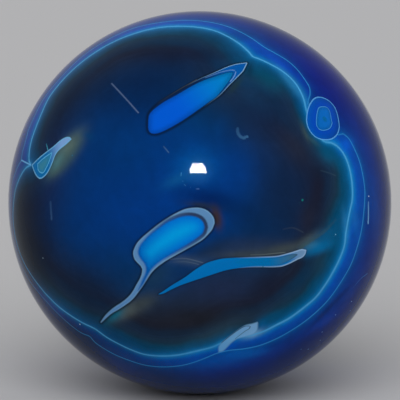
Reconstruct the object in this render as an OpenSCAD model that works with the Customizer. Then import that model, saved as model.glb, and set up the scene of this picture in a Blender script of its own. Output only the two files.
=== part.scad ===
// Polished agate ball, turned from one piece of banded stone.
// Millimetres. +Z is up, and the origin is the centre of the ball.

/* [Ball] */
// Diameter of the polished ball
ball_d = 60; // [20:1:150]

/* [Smoothness] */
// Facets around the ball in the preview
facets = 128; // [32:8:256]

/* [Hidden] */

// The whole object: a solid sphere with no core, bore or flat.
module agate_sphere() {
    color([0.02, 0.22, 0.50])
        sphere(d = ball_d, $fn = facets);
}

agate_sphere();
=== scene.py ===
"""Dresses the polished agate ball: its stone, its studio and its camera, for Blender 4.5.

The ball is one solid stone, so the looks are all in its banding. Each band line, pool and
eye is an outline on the ball. Its distance from every point of the surface is stored with
the mesh, and the stone's material turns the distances into colour, which keeps the lines
sharp. Places on the ball are given on a face: millimetres to the right of and above the
ball's centre, as somebody sees them who looks straight at that side of the ball.
"""

import logging
import math
from collections.abc import Sequence
from dataclasses import dataclass, field
from enum import Enum

import bpy
import numpy as np
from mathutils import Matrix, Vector


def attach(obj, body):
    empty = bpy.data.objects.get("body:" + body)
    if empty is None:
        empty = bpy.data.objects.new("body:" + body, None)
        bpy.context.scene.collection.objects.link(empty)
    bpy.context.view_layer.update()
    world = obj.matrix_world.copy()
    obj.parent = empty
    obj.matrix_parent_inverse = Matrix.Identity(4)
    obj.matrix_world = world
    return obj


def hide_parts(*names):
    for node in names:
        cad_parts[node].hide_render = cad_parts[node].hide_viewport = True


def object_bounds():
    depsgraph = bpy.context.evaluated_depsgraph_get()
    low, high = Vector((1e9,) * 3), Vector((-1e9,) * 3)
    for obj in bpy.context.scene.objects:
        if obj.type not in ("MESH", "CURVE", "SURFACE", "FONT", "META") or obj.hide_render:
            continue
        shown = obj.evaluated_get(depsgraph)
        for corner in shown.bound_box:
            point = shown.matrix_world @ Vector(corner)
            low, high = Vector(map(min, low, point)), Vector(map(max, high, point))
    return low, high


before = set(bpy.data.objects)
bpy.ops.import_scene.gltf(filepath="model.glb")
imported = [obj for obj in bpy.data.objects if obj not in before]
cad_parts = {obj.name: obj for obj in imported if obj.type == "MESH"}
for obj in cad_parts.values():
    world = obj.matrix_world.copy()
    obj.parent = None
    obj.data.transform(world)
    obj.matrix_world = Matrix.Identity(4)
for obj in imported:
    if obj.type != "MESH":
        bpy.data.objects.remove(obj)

log = logging.getLogger("agate_sphere")

NODE = "agate_sphere"
BODY = "root"

MM = 0.001
CAD_LOW, CAD_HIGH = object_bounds()
BALL_R = (CAD_HIGH.z - CAD_LOW.z) / 2 / MM
# A distance in millimetres that counts as far off, and the least length to divide by.
FAR_OFF = 60.0
TINY = 1e-12
SPECKS = "speck"

Point = tuple[float, float]
Outline = tuple[Point, ...]
Span = tuple[float, float]
Colour = tuple[float, float, float]
Stops = tuple[tuple[float, Colour], ...]
Paint = tuple[np.ndarray, np.ndarray]
Socket = bpy.types.NodeSocket


class PatchLayer(Enum):
    """The two layers of patches, by the names that their stored numbers start with."""

    SHELL = "shell"
    HEART = "heart"


class HairLayer(Enum):
    """The two layers of hairs, by the names of their stored numbers."""

    LOW = "hair"
    TOP = "top_hair"


def shade(red: int, green: int, blue: int) -> Colour:
    """Turns a shade as a screen shows it into the linear colour that Blender mixes.

    Args:
        red: Red, 0 to 255.
        green: Green, 0 to 255.
        blue: Blue, 0 to 255.

    Returns:
        The linear colour.
    """

    def straight(value: int) -> float:
        """Undoes the screen's curve for one channel."""
        part = value / 255
        return part / 12.92 if part <= 0.04045 else ((part + 0.055) / 1.055) ** 2.4

    return straight(red), straight(green), straight(blue)


def ease(value: np.ndarray, low: float, high: float) -> np.ndarray:
    """Rises smoothly from 0 at low to 1 at high.

    Args:
        value: What is eased.
        low: Where the rise starts.
        high: Where it ends.

    Returns:
        The eased share, 0 to 1.
    """
    part = np.clip((value - low) / (high - low), 0.0, 1.0)
    return part * part * (3 - 2 * part)


@dataclass(frozen=True)
class Face:
    """One side of the ball, as seen from straight in front of it.

    What is drawn on it fades out where the ball turns away: over the fade, in shares of
    the ball's radius in front of its centre.
    """

    azimuth_deg: float
    elevation_deg: float
    distance: float = 500.0
    fade: Span = (-0.05, 0.3)

    def axes(self) -> tuple[np.ndarray, np.ndarray, np.ndarray]:
        """Finds the ways that the viewer's own directions point.

        Returns:
            The viewer's right, up and the way towards the viewer, as unit vectors.
        """
        turn, lift = math.radians(self.azimuth_deg), math.radians(self.elevation_deg)
        right = np.array([math.cos(turn), math.sin(turn), 0.0])
        towards = np.array(
            [math.sin(turn) * math.cos(lift), -math.cos(turn) * math.cos(lift), math.sin(lift)]
        )
        return right, np.cross(towards, right), towards

    def on_ball(self, points: np.ndarray) -> np.ndarray:
        """Follows the viewer's sight lines through points of the face to the ball.

        Args:
            points: Places on the face, one row each, in millimetres.

        Returns:
            The places on the ball, in millimetres from its centre.
        """
        right, up, towards = self.axes()
        eye_place = towards * self.distance
        sight = points[:, :1] * right + points[:, 1:2] * up - eye_place
        squared = (sight * sight).sum(1)
        along = sight @ eye_place
        room = along**2 - squared * (self.distance**2 - BALL_R**2)
        reach = (-along - np.sqrt(np.maximum(room, 0.0))) / squared
        found = eye_place + reach[:, None] * sight
        return found * (BALL_R / np.linalg.norm(found, axis=1))[:, None]

    def seen(self, spots: np.ndarray) -> tuple[np.ndarray, np.ndarray]:
        """Finds where spots of the ball show on the face.

        Args:
            spots: Places on the ball, one row each.

        Returns:
            The places on the face, and how much each spot is turned to the viewer:
            1 in the middle of the face and 0 where the ball turns away.
        """
        right, up, towards = self.axes()
        depth = spots @ towards
        scale = self.distance / (self.distance - depth)
        across = np.stack([spots @ right, spots @ up], axis=1) * scale[:, None]
        return across, ease(depth / BALL_R, *self.fade)


FRONT = Face(0.0, 8.0)
BACK = Face(172.0, 6.0)
RIGHT = Face(105.0, 2.0)
LEFT = Face(-112.0, -2.0)
TOP = Face(172.0, 68.0)
UNDER = Face(172.0, -72.0)


def smooth(points: Sequence[Point], spacing: float = 0.15) -> np.ndarray:
    """Draws a smooth curve through points, closed if it ends where it starts.

    Args:
        points: The points that the curve passes through, in millimetres.
        spacing: About how far apart the curve's own points are.

    Returns:
        The curve's points, one row each, with the last point included.
    """
    spots = np.array(points, float)
    if len(spots) > 3 and points[0] == points[-1]:
        padded = np.vstack([spots[-2], spots, spots[1]])
    else:
        padded = np.vstack([2 * spots[0] - spots[1], spots, 2 * spots[-1] - spots[-2]])
    gaps = np.sqrt(np.linalg.norm(np.diff(padded, axis=0), axis=1))[:, None]
    steps = np.diff(padded, axis=0) / gaps
    slopes = steps[:-1] + steps[1:] - (padded[2:] - padded[:-2]) / (gaps[:-1] + gaps[1:])
    pieces = []
    for start, end, left, right, gap in zip(
        spots[:-1], spots[1:], slopes[:-1], slopes[1:], gaps[1:-1], strict=True
    ):
        count = max(2, math.ceil(np.linalg.norm(end - start) / spacing))
        part = np.linspace(0, 1, count, endpoint=False)[:, None]
        pieces.append(
            start * (1 + 2 * part) * (1 - part) ** 2
            + end * part**2 * (3 - 2 * part)
            + gap * part * (1 - part) * (left * (1 - part) - right * part)
        )
    return np.vstack([*pieces, spots[-1:]])


def nearest(
    spots: np.ndarray, line: np.ndarray, closed: bool, capped: bool = False
) -> tuple[np.ndarray, np.ndarray, np.ndarray]:
    """Finds how far each spot of the ball is from a line on it.

    Args:
        spots: Places on the ball, one row each.
        line: The line's points, in order.
        closed: Whether the line runs on from its last point to its first.
        capped: Whether an open line stops at its ends, and doesn't run on straight.

    Returns:
        The distance over the surface, positive on the line's left side, the way from
        the nearest place on the line to the spot, and that place's number in the line.
    """
    batches, same_mm = 24, 1e-6
    number = np.concatenate(
        [np.argmax(part @ line.T, axis=1) for part in np.array_split(spots, batches)]
    )
    last = len(line) - 1
    best = np.full(len(spots), np.inf)
    way = np.zeros_like(spots)
    side = np.zeros_like(spots)
    for back in (1, 0):
        at = (number - back) % len(line) if closed else np.clip(number - back, 0, last - 1)
        start, run = line[at], line[(at + 1) % len(line)] - line[at]
        share = ((spots - start) * run).sum(1) / np.maximum((run * run).sum(1), TINY)
        low, high = np.zeros(len(spots)), np.ones(len(spots))
        if not (closed or capped):
            low[at == 0], high[at == last - 1] = -np.inf, np.inf
        gap = spots - start - np.clip(share, low, high)[:, None] * run
        far = np.linalg.norm(gap, axis=1)
        left = np.cross(start, run)
        left /= np.maximum(np.linalg.norm(left, axis=1), TINY)[:, None]
        closer, same = far < best - same_mm, np.abs(far - best) <= same_mm
        way[closer], side[closer] = gap[closer], left[closer]
        side[same] += left[same]
        best = np.minimum(best, far)
    arc = 2 * BALL_R * np.arcsin(np.clip(best / (2 * BALL_R), 0, 1))
    return np.where((way * side).sum(1) < 0, -arc, arc), way, number


@dataclass(frozen=True)
class Run:
    """A smooth stretch of a line, with how strongly it shows."""

    points: Outline
    strength: float = 1.0


@dataclass(frozen=True)
class Loop:
    """A closed line of smooth runs, each of which starts where the last one ends.

    Its strength is evened out over so many of its own points to each side.
    """

    runs: tuple[Run, ...]
    blur: int = 25

    def measure(self, face: Face, spots: np.ndarray) -> tuple[np.ndarray, np.ndarray]:
        """Measures the loop from each spot of the ball.

        Args:
            face: The face that the loop is drawn on.
            spots: Places on the ball, one row each.

        Returns:
            The distance, positive inside the loop, and the line's strength nearby.
        """
        drawn = [smooth(run.points)[:-1] for run in self.runs]
        outline = np.vstack(drawn)
        strength = np.concatenate(
            [np.full(len(part), run.strength) for part, run in zip(drawn, self.runs, strict=True)]
        )
        after = np.roll(outline, -1, axis=0)
        if (outline[:, 0] * after[:, 1] - after[:, 0] * outline[:, 1]).sum() < 0:
            outline, strength = outline[::-1], strength[::-1]
        looped = np.concatenate([strength[-self.blur :], strength, strength[: self.blur]])
        window = np.ones(2 * self.blur + 1) / (2 * self.blur + 1)
        strength = np.convolve(looped, window, mode="valid")
        distance, _, number = nearest(spots, face.on_ball(outline), closed=True)
        return distance, strength[number]


@dataclass(frozen=True)
class Rim:
    """The line round a patch, with its strength at the patch's two tips."""

    colour: Colour
    width: float = 0.13
    start: float = 1.0
    end: float = 1.0
    strongest: float = 1.5


@dataclass(frozen=True)
class Patch:
    """A long closed shape between an upper and a lower side that meet at two tips.

    Its colour changes from the first tip to the last one between the two shares of the
    way in turn, and to the middle colour at depth inside it. It is painted darker towards
    its edge, as painted shade. The edge is soft over twice the softness, and a painted
    shadow reaches out from it as a dark halo. The two sides are drawn through points about
    the spacing apart.
    """

    upper: Outline
    lower: Outline
    start: Colour
    end: Colour
    rim: Rim
    turn: Span = (0.0, 1.0)
    middle: Colour | None = None
    depth: float = 1.5
    # How much the fill is painted darker towards its edge, as shade, and over what reach.
    dim: float = 0.0
    painted_shade_reach: float = 1.0
    cover: float = 1.0
    soft: float = 0.07
    # The painted shadow: how dark the stone is painted just outside the patch, and how far.
    painted_shadow: float = 0.0
    painted_shadow_reach: float = 0.5
    spacing: float = 0.08

    def sides(self, face: Face, spots: np.ndarray) -> tuple[np.ndarray, np.ndarray]:
        """Measures how far each spot lies inside the two sides.

        Args:
            face: The face that the patch is drawn on.
            spots: Places on the ball, one row each.

        Returns:
            The distance inside the upper side, and the distance inside the lower side.
        """
        top = face.on_ball(smooth(self.upper, self.spacing))
        bottom = face.on_ball(smooth(self.lower, self.spacing))
        above, _, top_at = nearest(spots, top, closed=False)
        below, _, bottom_at = nearest(spots, bottom, closed=False)
        above = -above
        for end, step in ((0, 1), (-1, -2)):
            tip = top[end]
            beyond = (top_at == end % len(top)) & (bottom_at == end % len(bottom))
            for way in (top[step] - tip, bottom[step] - tip):
                beyond &= (spots - tip) @ way < 0
            past = -np.linalg.norm(spots - tip, axis=1)
            above[beyond] = below[beyond] = past[beyond]
        return above, below

    def colours(self, face: Face, spots: np.ndarray, inner: np.ndarray) -> Paint:
        """Works out the patch's colours at each spot.

        Args:
            face: The face that the patch is drawn on.
            spots: Places on the ball, one row each.
            inner: How far each spot lies inside the patch.

        Returns:
            The fill's and the rim's colour, each with its strength as a fourth channel.
        """
        first, last = face.on_ball(np.array([self.upper[0], self.upper[-1]]))
        way = last - first
        part = ((spots - first) @ way / (way @ way))[:, None]
        run = ease(part, *self.turn)
        fill = np.array(self.start) * (1 - run) + np.array(self.end) * run
        if self.middle is not None:
            deep = ease(inner, 0.0, self.depth)[:, None]
            fill = fill * (1 - deep) + np.array(self.middle) * deep
        # Painted shade: the fill darkens towards the patch's edge.
        fill = fill * (1 - self.dim * (1 - ease(inner, 0.0, self.painted_shade_reach)[:, None]))
        rim_run = np.clip(part, 0.0, 1.0)
        strength = self.rim.start * (1 - rim_run) + self.rim.end * rim_run
        rim = np.broadcast_to(np.array(self.rim.colour), fill.shape)
        cover = np.full((len(spots), 1), self.cover)
        shown = np.clip(strength, 0.0, self.rim.strongest)
        return np.hstack([fill, cover]), np.hstack([rim, shown])


@dataclass(frozen=True)
class Cloud:
    """A soft oval on a face: round and fading, or with a flatter top and a firmer edge."""

    centre: Point
    reach: Point
    turn_deg: float = 0.0
    edge: float = 2.0

    def share(self, face: Face, spots: np.ndarray) -> np.ndarray:
        """Finds how much each spot lies in the cloud.

        Args:
            face: The face that the cloud is drawn on.
            spots: Places on the ball, one row each.

        Returns:
            The share of each spot, 0 to 1.
        """
        across, turned = face.seen(spots)
        offset = across - np.array(self.centre)
        turn = math.radians(self.turn_deg)
        along = (offset[:, 0] * math.cos(turn) + offset[:, 1] * math.sin(turn)) / self.reach[0]
        over = (offset[:, 1] * math.cos(turn) - offset[:, 0] * math.sin(turn)) / self.reach[1]
        return turned * np.exp(-(np.hypot(along, over) ** self.edge))


@dataclass(frozen=True)
class Veil:
    """A cloud that colours the stone."""

    cloud: Cloud
    colour: Colour
    strength: float


@dataclass(frozen=True)
class Swell:
    """A cloud that pushes the rings of colour to the band's line, or away if negative."""

    cloud: Cloud
    push: float


@dataclass(frozen=True)
class Hair:
    """A thin open line in the stone, with its strength at its two ends.

    It fades in and out over the taper, a share of its length. Hairs that lie less than
    1.2 mm apart are in different layers, because each layer knows only its nearest one.
    """

    points: Outline
    colour: Colour
    width: float = 0.12
    start: float = 1.0
    end: float = 1.0
    layer: HairLayer = HairLayer.LOW
    taper: float = 0.0
    spacing: float = 0.1


@dataclass(frozen=True)
class Speck:
    """A tiny round fleck in the stone."""

    place: Point
    colour: Colour
    radius: float = 0.16
    strength: float = 1.0


@dataclass(frozen=True)
class Pattern:
    """All that shows on one face of the ball."""

    face: Face
    inner: tuple[Loop, ...] = ()
    outer: tuple[Loop, ...] = ()
    shells: tuple[Patch, ...] = ()
    hearts: tuple[Patch, ...] = ()
    swells: tuple[Swell, ...] = ()
    veils: tuple[Veil, ...] = ()
    hairs: tuple[Hair, ...] = ()
    specks: tuple[Speck, ...] = ()

    def patches(self, layer: PatchLayer) -> tuple[Patch, ...]:
        """The patches of one layer."""
        return self.shells if layer is PatchLayer.SHELL else self.hearts


PALE = shade(125, 185, 228)
THIN_PALE = shade(100, 170, 222)
GREY = shade(92, 108, 128)
# Dark blue for thin dark rims, and the colour of the painted shadow round patches.
DARK_RIM_AND_SHADOW = shade(6, 18, 34)
SLATE = shade(42, 62, 98)
SMOKE = shade(24, 31, 48)
NAVY = shade(12, 38, 72)
CORE_BLUE = shade(0, 58, 134)
TAN = shade(70, 84, 84)
TEAL = shade(0, 84, 118)
PUPIL = shade(0, 92, 142)
LAGOON = shade(0, 150, 222)
ROYAL = shade(0, 96, 210)
INK = shade(0, 26, 84)
DUST = shade(110, 170, 235)
BELT_TINTS = (shade(40, 128, 205), shade(0, 96, 176), shade(90, 160, 215), shade(0, 84, 160))


def ring(centre: Point, radii: Sequence[float]) -> Outline:
    """Draws a closed line round a centre, through points at evenly spaced angles.

    Args:
        centre: The centre, in millimetres.
        radii: How far each point is from the centre, from the right and round to the left.

    Returns:
        The line's points, with the first one once more at the end.
    """
    step = 2 * math.pi / len(radii)
    points = tuple(
        (centre[0] + radius * math.cos(turn * step), centre[1] + radius * math.sin(turn * step))
        for turn, radius in enumerate(radii)
    )
    return (*points, points[0])


def oval(
    centre: Point, half_length: float, half_width: float, turn_deg: float, lean: float = 0.1
) -> tuple[Outline, Outline]:
    """Draws a slightly uneven oval as a patch's two sides.

    Args:
        centre: The oval's middle, in millimetres.
        half_length: Half its length.
        half_width: Half its width.
        turn_deg: How far its length is turned from level.
        lean: How much wider it is towards its last tip.

    Returns:
        The upper side and the lower side, from the first tip to the last one.
    """
    turn = math.radians(turn_deg)
    upper_share, lower_share, steps = 1.0, -0.88, 8
    sides = []
    for way in (upper_share, lower_share):
        side = []
        for step in range(steps + 1):
            angle = math.pi * step / steps
            along = -math.cos(angle) * half_length
            over = way * math.sin(angle) * half_width * (1 - lean * math.cos(angle))
            side.append(
                (
                    centre[0] + along * math.cos(turn) - over * math.sin(turn),
                    centre[1] + along * math.sin(turn) + over * math.cos(turn),
                )
            )
        sides.append(tuple(side))
    return sides[0], sides[1]


def eye(centre: Point, size: Point, turn_deg: float) -> Patch:
    """Makes an eye's outer ring: an oval of royal blue with a pale rim.

    Args:
        centre: The eye's middle, in millimetres.
        size: Half its length and half its width.
        turn_deg: How far its length is turned from level.

    Returns:
        The ring, as a patch for the lower layer.
    """
    return Patch(
        *oval(centre, *size, turn_deg),
        ROYAL,
        shade(0, 88, 190),
        Rim(PALE, 0.14),
        middle=shade(0, 80, 194),
        depth=1.3,
    )


def eye_heart(centre: Point, size: Point, turn_deg: float) -> Patch:
    """Makes an eye's lighter middle.

    Args:
        centre: The eye's middle, in millimetres.
        size: Half the length and half the width of the lighter part.
        turn_deg: How far its length is turned from level.

    Returns:
        The middle, as a patch for the upper layer.
    """
    tint = shade(0, 118, 205)
    rim = Rim(shade(46, 142, 208), 0.1)
    return Patch(*oval(centre, *size, turn_deg, lean=0.0), tint, tint, rim)


def strata(
    start: Point, bend: Point, end: Point, way: Point, tints: Sequence[Colour]
) -> tuple[Hair, ...]:
    """Draws fine lines side by side along one curve.

    Args:
        start: Where the first line starts.
        bend: Where it passes its middle.
        end: Where it ends.
        way: How far each line lies from the one before it.
        tints: Each line's colour.

    Returns:
        The lines, by turns in the lower and in the upper layer.
    """
    layers = tuple(HairLayer)
    return tuple(
        Hair(
            tuple(
                (place[0] + way[0] * turn, place[1] + way[1] * turn)
                for place in (start, bend, end)
            ),
            tint,
            width=0.13,
            start=0.6,
            end=0.7,
            layer=layers[turn % len(layers)],
            taper=0.35,
        )
        for turn, tint in enumerate(tints)
    )


# The band's inner line on the front, anticlockwise from the left.
FRONT_INNER = Loop(
    (
        # The left run is weaker: partly the line's own faintness, partly painted shade of the
        # ball's darker lower left.
        Run(
            (
                (-26.41, 5.94), (-27.2, 5.5), (-27.85, 4.65), (-28.4, 3.55), (-28.9, 2.1),
                (-29.2, 0.0), (-29.3, -2.1), (-29.08, -4.52), (-28.44, -7.24), (-27.4, -9.75),
                (-25.97, -12.03), (-24.25, -14.25),
            ),
            0.55,
        ),
        Run(
            (
                (-24.25, -14.25), (-22.2, -16.27), (-20.2, -17.75), (-18.3, -18.9), (-16.45, -19.8),
                (-14.65, -21.1), (-12.85, -22.1), (-10.85, -23.05), (-8.7, -23.8), (-6.3, -24.05),
                (-3.6, -23.92), (0.1, -23.13), (2.1, -22.6), (3.4, -22.0),
            ),
            0.85,
        ),
        Run(((3.4, -22.0), (5.5, -21.2), (7.9, -20.9)), 0.1),
        Run(
            (
                (7.9, -20.9), (10.1, -20.15), (12.1, -19.15), (14.1, -18.1), (16.1, -16.65),
            ),
            1.5,
        ),
        Run(
            (
                (16.1, -16.65), (18.1, -14.95), (19.7, -12.85), (21.1, -10.5), (22.1, -8.45),
                (22.7, -6.65), (22.9, -4.85), (23.15, -3.3), (23.55, -1.3), (23.9, 0.4),
                (23.95, 1.8), (23.7, 4.3), (23.1, 6.5), (22.1, 8.3), (20.9, 9.25), (19.5, 9.55),
            ),
            1.1,
        ),
        Run(((19.5, 9.55), (18.4, 10.6), (17.4, 12.4), (16.85, 14.0)), 0.2),
        Run(
            (
                (16.85, 14.0), (16.6, 14.9), (16.35, 16.05), (15.7, 17.6), (14.6, 19.18),
                (13.02, 20.57), (11.25, 21.62), (9.5, 22.45), (8.3, 22.9),
            ),
        ),
        Run(
            (
                (8.3, 22.9), (7.5, 23.8), (6.1, 25.0), (4.1, 26.2), (2.1, 27.03), (-0.3, 27.5),
                (-3.1, 27.65), (-6.0, 27.5), (-9.05, 26.88), (-13.0, 25.46), (-16.92, 23.22),
                (-20.4, 20.37), (-23.5, 16.7), (-24.9, 13.8), (-25.95, 11.15), (-26.45, 9.6),
                (-26.75, 8.0), (-26.8, 6.5),
            ),
        ),
        Run(((-26.8, 6.5), (-26.41, 5.94))),
    ),
)

# The band's outer line on the front, anticlockwise from the left.
FRONT_OUTER = Loop(
    (
        # The left run is weaker: partly the line's own faintness, partly painted shade of the
        # ball's darker lower left.
        Run(
            (
                (-27.98, 6.6), (-28.5, 5.7), (-29.0, 4.45), (-29.45, 2.9), (-29.72, 0.4),
                (-29.68, -2.7), (-29.2, -5.9), (-28.3, -9.0), (-26.8, -12.1), (-25.4, -13.95),
                (-23.97, -15.6), (-22.68, -16.98), (-21.2, -18.4), (-19.65, -19.7), (-18.45, -20.5),
                (-17.25, -20.95),
            ),
            0.4,
        ),
        Run(
            (
                (-17.25, -20.95), (-16.45, -21.9), (-14.85, -23.0), (-13.2, -23.9), (-11.2, -24.7),
                (-9.2, -25.35), (-7.2, -25.7), (-4.8, -25.75), (-2.4, -25.45), (0.1, -24.68),
                (2.6, -23.65),
            ),
            0.7,
        ),
        Run(
            (
                (2.6, -23.65), (4.4, -23.2), (6.8, -22.95), (9.4, -22.4), (12.1, -21.3),
                (14.1, -20.2), (16.1, -18.9), (18.1, -17.3), (20.1, -15.3), (22.1, -12.5),
                (23.7, -9.7), (24.7, -6.9), (25.35, -4.3), (25.7, -1.7), (25.85, 0.3), (25.9, 1.7),
                (25.6, 4.1), (25.1, 6.3), (24.3, 8.3), (23.35, 10.05), (22.5, 10.8),
            ),
            0.8,
        ),
        Run(((22.5, 10.8), (21.65, 10.6)), 0.8),
        Run(((21.65, 10.6), (20.4, 13.0), (18.2, 15.0), (16.95, 15.3)), 0.0),
        Run(
            (
                (16.95, 15.3), (17.0, 16.0), (17.3, 17.1), (17.2, 18.05), (16.4, 19.4),
                (15.2, 20.95), (13.8, 22.22), (12.05, 23.3), (10.1, 24.4), (8.1, 25.8), (6.1, 26.9),
                (4.1, 27.7), (2.1, 28.2), (0.1, 28.5), (-2.1, 28.6), (-6.0, 28.28), (-9.9, 27.5),
                (-11.87, 26.78), (-14.87, 25.32), (-18.8, 22.6), (-22.7, 18.6), (-24.65, 16.0),
                (-26.1, 13.15), (-26.85, 11.4), (-27.4, 9.4), (-27.85, 7.75), (-27.98, 6.6),
            ),
            0.75,
        ),
    ),
)

# The front's patches. Where one has a heart, the heart follows it.
EYE = Patch(
    (
        (16.74, 12.85), (16.8, 13.7), (17.03, 14.8), (17.45, 15.7), (18.0, 16.35), (18.8, 16.55),
        (20.2, 16.0), (21.15, 14.95), (21.57, 13.85), (21.83, 12.5), (21.88, 12.0),
    ),
    (
        (16.74, 12.85), (16.95, 11.85), (17.45, 11.0), (18.15, 10.3), (19.0, 9.95), (19.95, 9.85),
        (20.9, 10.1), (21.56, 10.75), (21.85, 11.6), (21.88, 12.0),
    ),
    shade(0, 90, 184),
    shade(0, 66, 154),
    Rim(shade(86, 162, 226), 0.115),
    middle=shade(0, 74, 186),
    depth=1.3,
)

EYE_HEART = Patch(
    (
        (18.29, 12.7), (18.3, 13.2), (18.45, 14.25), (18.7, 14.9), (19.4, 15.05), (20.0, 14.9),
        (20.4, 14.25), (20.6, 13.2), (20.77, 12.5),
    ),
    (
        (18.29, 12.7), (18.3, 12.15), (18.6, 11.6), (19.15, 11.35), (20.0, 11.45), (20.5, 11.8),
        (20.77, 12.5),
    ),
    shade(4, 106, 194),
    shade(6, 108, 200),
    Rim(shade(66, 146, 210), 0.08),
    dim=0.3,
    painted_shade_reach=0.6,
)

KITE = Patch(
    (
        (-26.31, 5.9), (-25.3, 6.9), (-24.2, 7.8), (-22.9, 8.8), (-21.8, 9.75), (-20.9, 10.2),
        (-20.4, 10.18), (-20.2, 9.95),
    ),
    (
        (-26.31, 5.9), (-26.0, 5.0), (-25.55, 4.15), (-25.0, 3.8), (-24.2, 4.35), (-23.65, 5.2),
        (-23.1, 6.45), (-22.7, 7.5), (-22.1, 8.3), (-21.0, 9.2), (-20.2, 9.95),
    ),
    shade(0, 106, 170),
    shade(120, 162, 216),
    Rim(shade(112, 180, 224), 0.13, 0.8, 0.9),
    turn=(0.42, 0.82),
)

KITE_HEART = Patch(
    ((-25.43, 6.1), (-24.45, 7.0), (-23.2, 7.85)),
    (
        (-25.43, 6.1), (-25.3, 5.0), (-24.65, 4.65), (-24.1, 5.45), (-23.55, 6.7), (-23.2, 7.85),
    ),
    shade(20, 118, 172),
    shade(24, 122, 176),
    Rim(shade(90, 172, 215), 0.1),
    middle=shade(52, 128, 156),
    depth=0.6,
)

LENS = Patch(
    (
        (-8.19, 12.8), (-8.09, 13.75), (-7.7, 14.4), (-7.0, 15.15), (-6.2, 15.8), (-3.1, 17.65),
        (-0.3, 19.25), (1.9, 20.2), (4.4, 21.3), (5.7, 21.7), (6.8, 21.85), (7.45, 21.96),
    ),
    (
        (-8.19, 12.8), (-8.13, 11.3), (-7.8, 10.9), (-7.25, 10.7), (-6.5, 10.8), (-4.35, 11.75),
        (-1.55, 13.5), (1.45, 15.6), (3.2, 16.95), (4.6, 18.45), (6.15, 20.0), (6.8, 20.7),
        (7.15, 21.4), (7.45, 21.96),
    ),
    shade(10, 34, 70),
    shade(0, 86, 166),
    Rim(shade(124, 172, 212), 0.09, -0.8, 1.1),
    turn=(0.5, 0.85),
    painted_shadow=0.75,
    painted_shadow_reach=0.55,
)

LENS_HEART = Patch(
    (
        (-8.12, 12.8), (-8.0, 13.68), (-7.62, 14.27), (-6.75, 15.03), (-5.5, 15.9), (-3.93, 16.76),
        (-0.78, 18.56), (0.8, 19.27), (2.05, 19.7), (3.5, 20.17), (4.6, 20.45), (5.29, 20.42),
    ),
    (
        (-8.12, 12.8), (-8.08, 11.38), (-7.77, 10.92), (-7.25, 10.77), (-6.53, 10.87),
        (-5.43, 11.31), (-3.08, 12.61), (0.02, 14.71), (1.47, 15.76), (2.57, 16.51), (3.52, 17.61),
        (4.22, 18.55), (4.82, 19.38), (5.29, 20.42),
    ),
    shade(0, 88, 208),
    shade(0, 128, 200),
    Rim(DARK_RIM_AND_SHADOW, 0.07, 0.5, 0.6),
    turn=(0.25, 0.95),
    dim=0.36,
    painted_shade_reach=1.0,
    soft=0.1,
)

POOL = Patch(
    (
        (-15.58, -18.87), (-14.75, -17.7), (-13.7, -16.7), (-11.75, -15.35), (-10.9, -14.55),
        (-10.3, -13.7), (-9.9, -12.95), (-9.35, -12.0), (-9.0, -11.0), (-9.0, -10.25), (-9.5, -9.6),
        (-10.1, -9.0), (-10.4, -7.9), (-10.15, -7.1), (-9.75, -6.35), (-9.05, -5.6), (-7.7, -4.45),
        (-6.1, -3.22), (-4.65, -2.27), (-3.4, -1.58), (-2.3, -1.1), (-1.2, -0.9), (0.0, -0.9),
        (1.0, -1.22), (1.75, -1.85), (2.18, -2.55), (2.25, -3.2),
    ),
    (
        (-15.58, -18.87), (-14.0, -17.45), (-12.6, -16.6), (-11.7, -16.0), (-10.9, -15.4),
        (-10.3, -14.8), (-9.7, -14.0), (-9.05, -13.1), (-8.4, -12.1), (-7.7, -11.05), (-6.9, -10.2),
        (-5.4, -9.1), (-3.85, -8.2), (-2.3, -7.33), (-0.75, -6.45), (0.5, -5.65), (1.3, -4.85),
        (1.85, -4.2), (2.25, -3.2),
    ),
    shade(90, 140, 194),
    shade(90, 136, 182),
    Rim(shade(124, 172, 214), 0.13, 0.4, 0.5),
    painted_shadow=0.9,
    painted_shadow_reach=0.6,
)

POOL_HEART = Patch(
    (
        (-9.75, -13.9), (-9.0, -12.1), (-8.55, -11.1), (-8.45, -10.25), (-8.75, -9.5),
        (-9.3, -8.85), (-9.72, -7.9), (-9.52, -6.95), (-8.7, -5.8), (-7.55, -4.67), (-6.3, -3.67),
        (-5.2, -2.87), (-3.93, -2.3), (-2.8, -1.92), (-1.55, -1.8), (-0.5, -1.98), (0.38, -2.45),
        (0.88, -3.15), (1.03, -3.85),
    ),
    (
        (-9.75, -13.9), (-8.85, -12.75), (-8.25, -11.6), (-7.65, -10.6), (-6.9, -9.8),
        (-5.8, -8.98), (-4.5, -8.22), (-2.95, -7.36), (-1.4, -6.47), (-0.1, -5.6), (0.72, -4.85),
        (1.03, -3.85),
    ),
    shade(0, 100, 190),
    shade(0, 108, 210),
    Rim(shade(42, 60, 92), 0.34, -0.8, 1.0),
    turn=(0.2, 0.8),
    middle=shade(0, 158, 224),
    depth=2.6,
    dim=0.25,
    painted_shade_reach=0.6,
    soft=0.2,
)

RIBBON = Patch(
    (
        (-6.56, -14.42), (-5.45, -13.7), (-4.35, -12.95), (-2.3, -11.7), (-0.6, -10.45),
        (1.0, -9.5), (2.4, -9.05), (3.5, -8.8), (4.75, -8.7), (7.9, -8.6), (11.0, -8.5),
        (12.3, -8.4), (13.35, -8.15), (14.45, -7.85), (15.4, -7.55), (16.0, -7.37), (16.6, -7.5),
    ),
    (
        (-6.56, -14.42), (-5.8, -14.3), (-4.7, -13.75), (-3.1, -13.0), (-1.55, -12.45),
        (1.6, -11.4), (3.95, -10.65), (5.5, -10.35), (8.5, -10.07), (11.0, -10.07), (12.7, -9.97),
        (13.6, -9.7), (14.35, -9.36), (15.3, -8.86), (16.1, -8.5), (16.5, -8.0), (16.6, -7.5),
    ),
    shade(0, 113, 186),
    shade(112, 152, 192),
    Rim(shade(138, 174, 212), 0.13, -1.5, 1.3),
    turn=(0.86, 0.97),
    painted_shadow=0.5,
    painted_shadow_reach=0.35,
)

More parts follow.
